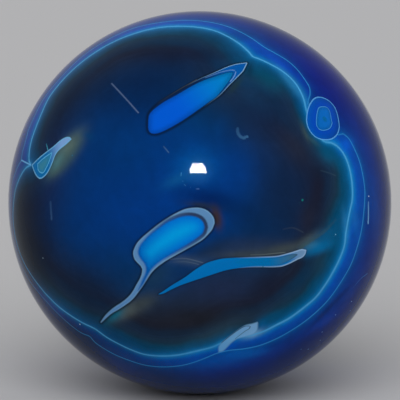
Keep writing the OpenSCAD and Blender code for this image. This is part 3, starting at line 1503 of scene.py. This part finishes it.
class Marks:
    """Hairs or specks, kept as the way from the nearest one and as its tint."""

    REACH_MM = 0.6

    def __init__(self, spots: np.ndarray) -> None:
        """Starts with no mark.

        Args:
            spots: Places on the ball, one row each, in millimetres.
        """
        count = len(spots)
        self.spots = spots
        self.way = np.full((count, 3), FAR_OFF)
        self.tint = np.zeros((count, 4))
        self.best = np.full(count, np.inf)

    def add_hair(self, face: Face, hair: Hair) -> None:
        """Adds a hair, with the way from it in shares of its half width.

        Args:
            face: The face that the hair is drawn on.
            hair: The hair.
        """
        line = face.on_ball(smooth(hair.points, hair.spacing))
        distance, gap, number = nearest(self.spots, line, closed=False, capped=True)
        far = np.abs(distance)
        here = (far < self.best) & (far < self.REACH_MM)
        self.best[here] = far[here]
        self.way[here] = gap[here] / hair.width
        part = number / (len(line) - 1)
        strength = hair.start * (1 - part) + hair.end * part
        if hair.taper:
            strength = strength * ease(np.minimum(part, 1 - part), 0.0, hair.taper)
        self.tint[here, :3], self.tint[here, 3] = hair.colour, strength[here]

    def add_speck(self, face: Face, speck: Speck) -> None:
        """Lays a speck over what is there, with the way from it in shares of its radius.

        Args:
            face: The face that the speck is drawn on.
            speck: The speck.
        """
        gap = self.spots - face.on_ball(np.array([speck.place]))[0]
        here = np.linalg.norm(gap, axis=1) < self.REACH_MM + speck.radius
        self.way[here] = gap[here] / speck.radius
        self.tint[here] = (*speck.colour, speck.strength)


class BandingData:
    """The numbers that the stone's material reads at each point of the ball's mesh."""

    LEAST_SHARE = 1e-6

    def __init__(self, spots: np.ndarray, patterns: Sequence[Pattern]) -> None:
        """Measures the whole pattern.

        Args:
            spots: The mesh's points, one row each, in millimetres.
            patterns: What shows on each face of the ball.
        """
        self.spots = spots
        self.patterns = patterns
        self.vectors: dict[str, np.ndarray] = {}
        self.colours: dict[str, np.ndarray] = {}
        self.measure_bands()
        self.measure_patches()
        self.measure_veils()
        self.measure_marks()

    def measure_bands(self) -> None:
        """Stores the distances inside the band's lines, their strengths and the swells."""
        count = len(self.spots)
        distance = np.full((count, 2), -FAR_OFF)
        strength = np.zeros((count, 2))
        push = np.zeros(count)
        for pattern in self.patterns:
            for column, loops in enumerate((pattern.inner, pattern.outer)):
                for loop in loops:
                    inside, shown = loop.measure(pattern.face, self.spots)
                    here = inside > distance[:, column]
                    distance[here, column], strength[here, column] = inside[here], shown[here]
            for swell in pattern.swells:
                push += swell.push * swell.cloud.share(pattern.face, self.spots)
        self.vectors["band"] = np.column_stack([distance, push])
        self.vectors["band_strength"] = np.column_stack([strength, np.zeros(count)])

    def measure_patches(self) -> None:
        """Stores the two layers of patches."""
        for layer in PatchLayer:
            sheet = Sheet(self.spots)
            for pattern in self.patterns:
                for patch in pattern.patches(layer):
                    sheet.add(pattern.face, patch)
            self.vectors[f"{layer.value}_sides"] = sheet.sides
            self.vectors[f"{layer.value}_look"] = sheet.look
            self.colours[f"{layer.value}_fill"] = sheet.fill
            self.colours[f"{layer.value}_rim"] = sheet.rim

    def measure_veils(self) -> None:
        """Lays the veils over each other into one soft colour with its share."""
        veil = np.zeros((len(self.spots), 4))
        for pattern in self.patterns:
            for one in pattern.veils:
                share = one.strength * one.cloud.share(pattern.face, self.spots)[:, None]
                veil[:, :3] = veil[:, :3] * (1 - share) + np.array(one.colour) * share
                veil[:, 3:] = veil[:, 3:] * (1 - share) + share
        veil[:, :3] /= np.maximum(veil[:, 3:], self.LEAST_SHARE)
        self.colours["veil"] = veil

    def measure_marks(self) -> None:
        """Stores the two layers of hairs, and the specks."""
        kinds = {layer.value: Marks(self.spots) for layer in HairLayer}
        kinds[SPECKS] = Marks(self.spots)
        for pattern in self.patterns:
            for hair in pattern.hairs:
                kinds[hair.layer.value].add_hair(pattern.face, hair)
            for speck in pattern.specks:
                kinds[SPECKS].add_speck(pattern.face, speck)
        for name, marks in kinds.items():
            self.vectors[name], self.colours[f"{name}_tint"] = marks.way, marks.tint

    def write(self, mesh: bpy.types.Mesh) -> None:
        """Stores every number with the mesh, one attribute for each name.

        Args:
            mesh: The ball's mesh.
        """
        for kind, member, numbers in (
            ("FLOAT_VECTOR", "vector", self.vectors),
            ("FLOAT_COLOR", "color", self.colours),
        ):
            for name, values in numbers.items():
                made = mesh.attributes.new(name, kind, "POINT")
                made.data.foreach_set(member, values.astype(np.float32).ravel())


class Graph:
    """Makes and joins a material's nodes."""

    def __init__(self, tree: bpy.types.NodeTree) -> None:
        """Starts from an empty node tree."""
        self.tree = tree
        tree.nodes.clear()

    def node(self, kind: str, **settings: object) -> bpy.types.Node:
        """Adds a node.

        Args:
            kind: The node's type.
            settings: Its settings, by their names.

        Returns:
            The node.
        """
        made = self.tree.nodes.new(kind)
        for name, value in settings.items():
            setattr(made, name, value)
        return made

    def feed(self, socket: Socket, value: object) -> None:
        """Links a socket to another one, or gives it a plain value.

        Args:
            socket: The input that is fed.
            value: The output that feeds it, or its value, or None to leave it alone.
        """
        if isinstance(value, Socket):
            self.tree.links.new(value, socket)
        elif value is not None:
            socket.default_value = value

    def feed_all(self, node: bpy.types.Node, values: dict[str, object]) -> None:
        """Feeds a node's inputs by their names."""
        for name, value in values.items():
            self.feed(node.inputs[name], value)

    def end(self, kind: str, surface: Socket) -> None:
        """Joins the finished surface to an output node of this kind."""
        self.feed(self.node(kind).inputs["Surface"], surface)

    def maths(self, operation: str, *values: object, clamp: bool = False) -> Socket:
        """Works out a number.

        Args:
            operation: The Math node's operation.
            values: What it works on, in order.
            clamp: Whether the result is kept between 0 and 1.

        Returns:
            The result.
        """
        made = self.node("ShaderNodeMath", operation=operation, use_clamp=clamp)
        for socket, value in zip(made.inputs, values, strict=False):
            self.feed(socket, value)
        return made.outputs[0]

    def rise(self, value: object, low: float, high: float) -> Socket:
        """Rises smoothly from 0 at low to 1 at high.

        Args:
            value: What is eased.
            low: Where the result is 0.
            high: Where it is 1, which may also be below low.

        Returns:
            The eased share.
        """
        made = self.node("ShaderNodeMapRange", interpolation_type="SMOOTHSTEP")
        first, last, start, end = (low, high, 0.0, 1.0) if low < high else (high, low, 1.0, 0.0)
        self.feed_all(
            made,
            {"Value": value, "From Min": first, "From Max": last, "To Min": start, "To Max": end},
        )
        return made.outputs["Result"]

    def mix(self, share: object, under: object, over: object) -> Socket:
        """Lays one colour over another.

        Args:
            share: How much of the upper colour covers.
            under: The lower colour.
            over: The upper colour.

        Returns:
            The mixed colour.
        """
        made = self.node("ShaderNodeMix", data_type="RGBA")
        self.feed(made.inputs["Factor"], share)
        for name, value in (("A", under), ("B", over)):
            socket = next(s for s in made.inputs if s.name == name and s.type == "RGBA")
            self.feed(socket, (*value, 1.0) if isinstance(value, tuple) else value)
        return next(s for s in made.outputs if s.type == "RGBA")

    def stored(self, name: str) -> bpy.types.Node:
        """The node that reads one of the mesh's own attributes."""
        return self.node("ShaderNodeAttribute", attribute_name=name)

    def parts(self, name: str) -> Sequence[Socket]:
        """Reads the three numbers of one of the mesh's own attributes.

        Args:
            name: The attribute's name.

        Returns:
            The three numbers.
        """
        made = self.node("ShaderNodeSeparateXYZ")
        self.feed(made.inputs[0], self.stored(name).outputs["Vector"])
        return made.outputs

    def ramp(self, value: object, stops: Stops) -> Socket:
        """Turns a value into a colour.

        Args:
            value: The value.
            stops: The colours, each at a place in the value's own units.

        Returns:
            The colour.
        """
        first, last = stops[0][0], stops[-1][0]
        scaled = self.node("ShaderNodeMapRange")
        self.feed_all(scaled, {"Value": value, "From Min": first, "From Max": last})
        made = self.node("ShaderNodeValToRGB")
        elements = made.color_ramp.elements
        for element, (place, colour) in zip(elements, (stops[0], stops[-1]), strict=True):
            element.position, element.color = (place - first) / (last - first), (*colour, 1.0)
        for place, colour in stops[1:-1]:
            elements.new((place - first) / (last - first)).color = (*colour, 1.0)
        self.feed(made.inputs[0], scaled.outputs["Result"])
        return made.outputs["Color"]

    def lighten(self, colour: Socket, value: Socket, swing: object) -> Socket:
        """Makes a colour lighter where a value is above a half, and darker where below.

        Args:
            colour: The colour.
            value: The value, 0 to 1.
            swing: How strongly it changes the colour.

        Returns:
            The changed colour.
        """
        gain = self.maths("MULTIPLY_ADD", self.maths("SUBTRACT", value, 0.5), swing, 0.5)
        scaled = self.node("ShaderNodeVectorMath", operation="SCALE")
        self.feed(scaled.inputs[0], colour)
        self.feed(scaled.inputs["Scale"], self.maths("MULTIPLY", gain, 2.0))
        return scaled.outputs["Vector"]

    def stripes(self, value: Socket, width: float, detail: float = 2.0) -> Socket:
        """Draws uneven stripes along a value.

        Args:
            value: The value, in millimetres.
            width: About how wide a stripe is, in millimetres.
            detail: How many finer layers the stripes have.

        Returns:
            The stripes, 0 to 1.
        """
        made = self.node("ShaderNodeTexNoise", noise_dimensions="1D")
        self.feed_all(made, {"W": value, "Scale": 1 / width, "Detail": detail})
        return made.outputs["Fac"]

    def noise(self, size: float, detail: float = 2.0, warp: float = 0.0) -> Socket:
        """Makes soft noise all through the stone.

        Args:
            size: About how far across its patches are, in millimetres.
            detail: How many finer layers it has.
            warp: How much it is twisted.

        Returns:
            The noise, 0 to 1.
        """
        made = self.node("ShaderNodeTexNoise")
        place = self.node("ShaderNodeTexCoord").outputs["Object"]
        scale = 1 / (size * MM)
        self.feed_all(
            made, {"Vector": place, "Scale": scale, "Detail": detail, "Distortion": warp}
        )
        return made.outputs["Fac"]


@dataclass(frozen=True)
class Haze:
    """Soft noise that clouds the stone a little, as depth does in a clear one."""

    size: float
    detail: float
    warp: float
    swing: float


@dataclass(frozen=True)
class AgateFinish:
    """Polished, dyed agate: its zones of colour, its lines and its gloss.

    The zones' stops give the colour at a distance in millimetres: inside the band's inner
    line, outside its outer line, and between the two lines, where the distance inside the
    inner line is negative. The rings' distances drift, and settle at the lines. An edge
    runs from where a mark ends to where it is full, in shares of its half width.
    """

    roughness: float = 0.02
    ior: float = 1.54
    specular: float = 0.036
    blur: float = 0.06
    inside: Stops = (
        (0.0, shade(36, 140, 204)),
        (0.3, shade(20, 126, 188)),
        (0.5, shade(5, 111, 171)),
        (0.8, shade(0, 98, 152)),
        (1.3, shade(0, 86, 132)),
        (2.0, shade(0, 76, 112)),
        (2.7, shade(18, 63, 87)),
        (3.4, shade(28, 54, 75)),
        (4.3, shade(25, 48, 73)),
        (5.3, shade(20, 43, 68)),
        (6.2, shade(27, 34, 50)),
        (6.9, shade(30, 34, 48)),
        (7.8, shade(28, 38, 56)),
        (9.2, shade(24, 43, 70)),
        (11.0, shade(18, 45, 76)),
        (13.5, shade(7, 47, 88)),
        (16.0, shade(2, 51, 100)),
        (20.0, shade(0, 52, 116)),
        (26.0, shade(0, 52, 126)),
    )
    outside: Stops = (
        (-20.0, shade(0, 44, 104)),
        (-14.0, shade(0, 42, 104)),
        (-9.5, shade(0, 36, 104)),
        (-6.5, shade(0, 38, 116)),
        (-4.5, shade(0, 44, 130)),
        (-2.8, shade(0, 52, 142)),
        (-1.3, shade(0, 62, 148)),
        (-0.5, shade(0, 76, 156)),
        (0.0, shade(0, 98, 178)),
    )
    between: Stops = (
        (-2.4, shade(0, 78, 174)),
        (-2.0, shade(0, 80, 180)),
        (-1.6, shade(0, 82, 186)),
        (-1.25, shade(0, 90, 190)),
        (-0.95, shade(0, 100, 194)),
        (-0.65, shade(2, 114, 198)),
        (-0.4, shade(14, 128, 202)),
        (-0.1, shade(40, 142, 208)),
    )
    inner_line: Colour = shade(76, 168, 226)
    outer_line: Colour = shade(52, 158, 226)
    inner_width: float = 0.26
    outer_width: float = 0.18
    drift: float = 2.6
    drift_size: float = 7.0
    settle_inside: Span = (0.0, 3.5)
    settle_outside: Span = (-1.0, -5.0)
    stripe_width: float = 0.55
    stripe_swing: float = 0.3
    stripes_start: Span = (0.8, 2.5)
    stripes_end: Span = (13.0, 6.0)
    hazes: tuple[Haze, ...] = (Haze(3.2, 4.0, 0.6, 0.22), Haze(0.9, 3.0, 0.0, 0.1))
    rim_edge: Span = (1.2, 0.3)
    hair_edge: Span = (1.15, 0.35)
    speck_edge: Span = (1.2, 0.5)

    def build(self) -> bpy.types.Material:
        """Makes the stone's material.

        Returns:
            The finished material.
        """
        made = bpy.data.materials.new("banded_agate")
        made.use_nodes = True
        graph = Graph(made.node_tree)
        inner, outer, push = graph.parts("band")
        colour = self.zones(graph, inner, outer, push)
        veil = graph.stored("veil")
        colour = graph.mix(veil.outputs["Alpha"], colour, veil.outputs["Color"])
        for haze in self.hazes:
            noise = graph.noise(haze.size, haze.detail, haze.warp)
            colour = graph.lighten(colour, noise, haze.swing)
        colour = self.lines(graph, colour, inner, outer)
        for sheet in PatchLayer:
            colour = self.patches(graph, colour, sheet.value)
        for hairs in HairLayer:
            colour = self.marks(graph, colour, hairs.value, self.hair_edge)
        colour = self.marks(graph, colour, SPECKS, self.speck_edge)
        stone = graph.node("ShaderNodeBsdfPrincipled")
        graph.feed_all(
            stone,
            {
                "Base Color": colour,
                "Roughness": self.roughness,
                "IOR": self.ior,
                "Specular IOR Level": self.specular,
            },
        )
        graph.end("ShaderNodeOutputMaterial", stone.outputs["BSDF"])
        return made

    def zones(self, graph: Graph, inner: Socket, outer: Socket, push: Socket) -> Socket:
        """Colours the soft rings on both sides of the band's two lines.

        Args:
            graph: The material's nodes.
            inner: The distance inside the inner line.
            outer: The distance inside the outer line.
            push: How far the rings inside are pushed to the line.

        Returns:
            The colour.
        """
        drift = graph.maths(
            "MULTIPLY_ADD", graph.noise(self.drift_size), self.drift, -self.drift / 2
        )
        inward = graph.maths("ADD", drift, push)
        settled = graph.rise(inner, *self.settle_inside)
        within = graph.maths("ADD", inner, graph.maths("MULTIPLY", inward, settled))
        settled = graph.rise(outer, *self.settle_outside)
        beyond = graph.maths("ADD", outer, graph.maths("MULTIPLY", drift, settled))
        stripes = graph.stripes(within, self.stripe_width)
        shown = graph.maths(
            "MULTIPLY",
            graph.rise(inner, *self.stripes_start),
            graph.rise(inner, *self.stripes_end),
        )
        swing = graph.maths("MULTIPLY", shown, self.stripe_swing)
        rings = graph.lighten(graph.ramp(within, self.inside), stripes, swing)
        colour = graph.ramp(beyond, self.outside)
        between = graph.ramp(inner, self.between)
        colour = graph.mix(graph.rise(outer, -self.blur, self.blur), colour, between)
        return graph.mix(graph.rise(inner, -self.blur, self.blur), colour, rings)

    def lines(self, graph: Graph, colour: Socket, inner: Socket, outer: Socket) -> Socket:
        """Draws the band's inner and outer lines.

        Args:
            graph: The material's nodes.
            colour: The colour under them.
            inner: The distance inside the inner line.
            outer: The distance inside the outer line.

        Returns:
            The colour with the lines.
        """
        inner_strength, outer_strength, _ = graph.parts("band_strength")
        for distance, strength, width, tint in (
            (outer, outer_strength, self.outer_width, self.outer_line),
            (inner, inner_strength, self.inner_width, self.inner_line),
        ):
            near = graph.rise(graph.maths("ABSOLUTE", distance), width, 0.0)
            share = graph.maths("MULTIPLY", near, strength, clamp=True)
            colour = graph.mix(share, colour, tint)
        return colour

    def patches(self, graph: Graph, colour: Socket, name: str) -> Socket:
        """Paints shadow on the stone round one layer's patches, fills them and draws their rims.

        Args:
            graph: The material's nodes.
            colour: The colour under them.
            name: The layer's name.

        Returns:
            The colour with the patches.
        """
        above, below, width = graph.parts(f"{name}_sides")
        soft, painted_shadow, reach = graph.parts(f"{name}_look")
        fill, rim = graph.stored(f"{name}_fill"), graph.stored(f"{name}_rim")
        inner = graph.maths("MINIMUM", above, below)
        # Painted shadow: the stone is darkened just outside each patch.
        shadow_share = graph.rise(graph.maths("DIVIDE", inner, reach), -1.0, 0.0)
        colour = graph.mix(graph.maths("MULTIPLY", shadow_share, painted_shadow), colour, DARK_RIM_AND_SHADOW)
        within = graph.rise(graph.maths("DIVIDE", inner, soft), -1.0, 1.0)
        cover = graph.maths("MULTIPLY", within, fill.outputs["Alpha"])
        colour = graph.mix(cover, colour, fill.outputs["Color"])
        off_rim = graph.maths("DIVIDE", graph.maths("ABSOLUTE", inner), width)
        near = graph.rise(off_rim, *self.rim_edge)
        share = graph.maths("MULTIPLY", near, rim.outputs["Alpha"], clamp=True)
        return graph.mix(share, colour, rim.outputs["Color"])

    def marks(self, graph: Graph, colour: Socket, name: str, edge: Span) -> Socket:
        """Draws one layer of hairs, or the specks.

        Args:
            graph: The material's nodes.
            colour: The colour under them.
            name: The name of their stored numbers.
            edge: Where a mark ends, and where it is full.

        Returns:
            The colour with the marks.
        """
        tint = graph.stored(f"{name}_tint")
        length = graph.node("ShaderNodeVectorMath", operation="LENGTH")
        graph.feed(length.inputs[0], graph.stored(name).outputs["Vector"])
        near = graph.rise(length.outputs["Value"], *edge)
        share = graph.maths("MULTIPLY", near, tint.outputs["Alpha"], clamp=True)
        return graph.mix(share, colour, tint.outputs["Color"])


def points_of(mesh: bpy.types.Mesh) -> np.ndarray:
    """Reads where a mesh's points are.

    Args:
        mesh: The mesh.

    Returns:
        The points, one row each, in metres.
    """
    points = np.empty(len(mesh.vertices) * 3)
    mesh.vertices.foreach_get("co", points)
    return points.reshape(-1, 3)


@dataclass
class PolishedBall:
    """The ball itself: one dense, even skin that takes the CAD sphere's place.

    It starts as a cube just inside the ball, each side cut into so many cells a way.
    """

    radius: float = BALL_R * MM
    inset: float = 0.99
    cells: int = 128
    charts: tuple[int, int] = (3, 2)
    gutter: float = 0.004
    finish: AgateFinish = field(default_factory=AgateFinish)

    @property
    def half(self) -> float:
        """Half the cube's width."""
        return self.radius / math.sqrt(3) * self.inset

    def build(self) -> bpy.types.Object:
        """Models the ball and dresses it.

        Returns:
            The finished piece.
        """
        piece, grid = self.start_cube()
        self.map_sides(piece.data, grid)
        self.round_off(piece, grid)
        BandingData(points_of(piece.data) / MM, PATTERNS).write(piece.data)
        piece.data.materials.clear()
        piece.data.materials.append(self.finish.build())
        return piece

    def start_cube(self) -> tuple[bpy.types.Object, np.ndarray]:
        """Adds a cube that fits in the ball and cuts each side into even cells.

        Returns:
            The cube, and its points in shares of its half width.
        """
        bpy.ops.object.select_all(action="DESELECT")
        bpy.ops.mesh.primitive_cube_add(size=2 * self.half, location=(0, 0, 0))
        piece = bpy.context.object
        piece.name = piece.data.name = "polished_ball"
        bpy.ops.object.mode_set(mode="EDIT")
        bpy.ops.mesh.select_all(action="SELECT")
        bpy.ops.mesh.subdivide(number_cuts=self.cells - 1)
        bpy.ops.object.mode_set(mode="OBJECT")
        return piece, points_of(piece.data) / self.half

    def map_sides(self, mesh: bpy.types.Mesh, grid: np.ndarray) -> None:
        """Lays the cube's six sides out as a sheet of charts, with a gutter round each.

        Args:
            mesh: The cut cube.
            grid: Its points in shares of the cube's half width.
        """
        cell_corners = 4
        corners = np.empty(len(mesh.loops), int)
        mesh.loops.foreach_get("vertex_index", corners)
        at = grid[corners]
        middle = at.reshape(-1, cell_corners, 3).mean(axis=1)
        axis = np.abs(middle).argmax(axis=1)
        sign = np.sign(middle[np.arange(len(middle)), axis])
        side = np.repeat(axis * 2 + (sign > 0), cell_corners)
        axis = np.repeat(axis, cell_corners)
        first = np.where(axis == 0, at[:, 1], at[:, 0])
        second = np.where(axis == 2, at[:, 1], at[:, 2])
        columns, rows = self.charts
        room = 1 - 2 * self.gutter
        sheet = np.empty((len(corners), 2))
        sheet[:, 0] = (side % columns + self.gutter + room * (first + 1) / 2) / columns
        sheet[:, 1] = (side // columns + self.gutter + room * (second + 1) / 2) / rows
        for old in list(mesh.uv_layers):
            mesh.uv_layers.remove(old)
        made = mesh.uv_layers.new(name="OFBake")
        made.data.foreach_set("uv", sheet.ravel())

    def round_off(self, piece: bpy.types.Object, grid: np.ndarray) -> None:
        """Spaces the cells evenly by angle and casts the cube to the true ball.

        Args:
            piece: The cut cube.
            grid: Its points in shares of the cube's half width.
        """
        even = np.tan(grid * math.pi / 4) * self.half
        piece.data.vertices.foreach_set("co", even.ravel())
        cast = piece.modifiers.new("to_ball", "CAST")
        cast.cast_type = "SPHERE"
        cast.factor = 1.0
        cast.radius = cast.size = self.radius
        cast.use_radius_as_size = True
        bpy.ops.object.modifier_apply(modifier=cast.name)
        bpy.ops.object.shade_smooth()


def face_ball(data: bpy.types.ID, way: Vector, place: Vector) -> bpy.types.Object:
    """Adds a lamp or a camera that looks at the ball.

    Args:
        data: The lamp's or the camera's own settings, whose name it takes.
        way: The way from the ball to it.
        place: Where it stands.

    Returns:
        The lamp or the camera.
    """
    made = bpy.data.objects.new(data.name, data)
    bpy.context.scene.collection.objects.link(made)
    made.location = place
    made.rotation_euler = way.to_track_quat("Z", "Y").to_euler()
    return made


@dataclass(frozen=True)
class Softbox:
    """A rectangular lamp that only the polish shows, placed by where its reflection lies.

    With a narrow spread its reflection fades out towards its edges.
    """

    name: str
    shown_at: Point
    width: float
    height: float
    watts: float
    colour: Colour = (1.0, 1.0, 1.0)
    spread_deg: float = 180.0
    distance: float = 0.6

    def build(self) -> bpy.types.Object:
        """Hangs the lamp where the front camera sees it mirrored, and turns it to the ball.

        Returns:
            The lamp.
        """
        data = bpy.data.lights.new(self.name, "AREA")
        data.shape = "RECTANGLE"
        data.size, data.size_y = self.width, self.height
        data.energy, data.color = self.watts, self.colour
        data.spread = math.radians(self.spread_deg)
        way = Vector(self.mirrored())
        lamp = face_ball(data, way, way * self.distance)
        lamp.visible_camera = lamp.visible_diffuse = False
        return lamp

    def mirrored(self) -> np.ndarray:
        """Finds the way that a sight line to the lamp's reflection takes off the ball.

        Returns:
            The way, as a unit vector.
        """
        spot = FRONT.on_ball(np.array([self.shown_at]))[0]
        normal = spot / np.linalg.norm(spot)
        sight = FRONT.axes()[2] * FRONT.distance - spot
        sight /= np.linalg.norm(sight)
        return 2 * normal * (normal @ sight) - sight


@dataclass(frozen=True)
class Studio:
    """A plain pale floor, a pale room and soft lamps."""

    floor_colour: Colour = shade(206, 206, 208)
    room_colour: Colour = shade(176, 177, 180)
    room_light: float = 0.36
    sky_from: tuple[float, float, float] = (-0.05, -1.0, 0.75)
    sky_strength: float = 1.85
    sky_spread_deg: float = 50.0
    floor_size: float = 8.0
    softboxes: tuple[Softbox, ...] = (
        Softbox("key_low", (-0.27, 4.78), 0.098, 0.021, 2.8),
        Softbox("key_high", (-0.24, 5.26), 0.086, 0.019, 2.4),
        Softbox("key_bar", (-0.36, 5.83), 0.068, 0.011, 1.35),
        Softbox("key_glow", (-0.2, 5.0), 0.24, 0.24, 0.018, (0.3, 0.75, 1.0), 20.0),
    )

    def build(self) -> tuple[bpy.types.Object, ...]:
        """Sets up the floor, the room and the lamps.

        Returns:
            The floor and the lamps.
        """
        floor = self.lay_floor()
        self.light_room()
        skylight = self.hang_skylight()
        return floor, skylight, *(lamp.build() for lamp in self.softboxes)

    def hang_skylight(self) -> bpy.types.Object:
        """Adds the even, soft light from the front and above.

        Returns:
            The lamp.
        """
        data = bpy.data.lights.new("skylight", "SUN")
        data.energy = self.sky_strength
        data.angle = math.radians(self.sky_spread_deg)
        lamp = face_ball(data, Vector(self.sky_from), Vector())
        lamp.visible_camera = lamp.visible_glossy = False
        return lamp

    def lay_floor(self) -> bpy.types.Object:
        """Lays the pale floor just under the ball.

        Returns:
            The floor.
        """
        bpy.ops.object.select_all(action="DESELECT")
        bpy.ops.mesh.primitive_plane_add(size=self.floor_size, location=(0, 0, CAD_LOW.z))
        floor = bpy.context.object
        floor.name = "studio_floor"
        bpy.ops.object.transform_apply(location=True, rotation=True, scale=True)
        made = bpy.data.materials.new("pale_floor")
        made.use_nodes = True
        graph = Graph(made.node_tree)
        matt = graph.node("ShaderNodeBsdfDiffuse")
        graph.feed(matt.inputs["Color"], (*self.floor_colour, 1.0))
        graph.end("ShaderNodeOutputMaterial", matt.outputs["BSDF"])
        floor.data.materials.append(made)
        return floor

    def light_room(self) -> None:
        """Fills the room with soft light and shows it pale behind the ball."""
        room = bpy.data.worlds.new("pale_room")
        bpy.context.scene.world = room
        room.use_nodes = True
        graph = Graph(room.node_tree)
        path = graph.node("ShaderNodeLightPath")
        glossy, clear = path.outputs["Is Glossy Ray"], path.outputs["Is Transmission Ray"]
        mirrored = graph.maths("MAXIMUM", glossy, clear)
        shown = graph.maths("MAXIMUM", path.outputs["Is Camera Ray"], mirrored)
        dim = (self.room_light, self.room_light, self.room_light)
        back = graph.node("ShaderNodeBackground")
        graph.feed(back.inputs["Color"], graph.mix(shown, dim, self.room_colour))
        graph.end("ShaderNodeOutputWorld", back.outputs["Background"])


@dataclass(frozen=True)
class Viewpoint:
    """The camera, at the front face's own place, with the ball as large as the frame allows."""

    frame_px: float = 400.0
    ball_px: float = 191.6
    centre_px: Point = (199.8, 202.6)
    sensor: float = 36.0
    clip: Span = (0.01, 50.0)

    def build(self) -> bpy.types.Object:
        """Places the camera and makes it the scene's own.

        Returns:
            The camera.
        """
        away = FRONT.distance / BALL_R
        half_view = (self.frame_px / 2) / self.ball_px / math.sqrt(away * away - 1)
        data = bpy.data.cameras.new("front_camera")
        data.sensor_width = self.sensor
        data.lens = self.sensor / 2 / half_view
        data.shift_x = (self.frame_px / 2 - self.centre_px[0]) / self.frame_px
        data.shift_y = (self.centre_px[1] - self.frame_px / 2) / self.frame_px
        data.clip_start, data.clip_end = self.clip
        way = Vector(FRONT.axes()[2])
        camera = face_ball(data, way, way * FRONT.distance * MM)
        bpy.context.scene.camera = camera
        return camera


def main() -> None:
    """Builds the ball, the studio and the camera, and reports each piece."""
    logging.basicConfig(level=logging.INFO, format="%(name)s: %(message)s")
    bpy.context.scene.view_settings.view_transform = "Standard"
    ball = PolishedBall().build()
    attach(ball, BODY)
    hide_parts(NODE)
    log.info("%s: %d faces", ball.name, len(ball.data.polygons))
    for made in (*Studio().build(), Viewpoint().build()):
        log.info("%s: set up", made.name)


if __name__ == "__main__":
    main()
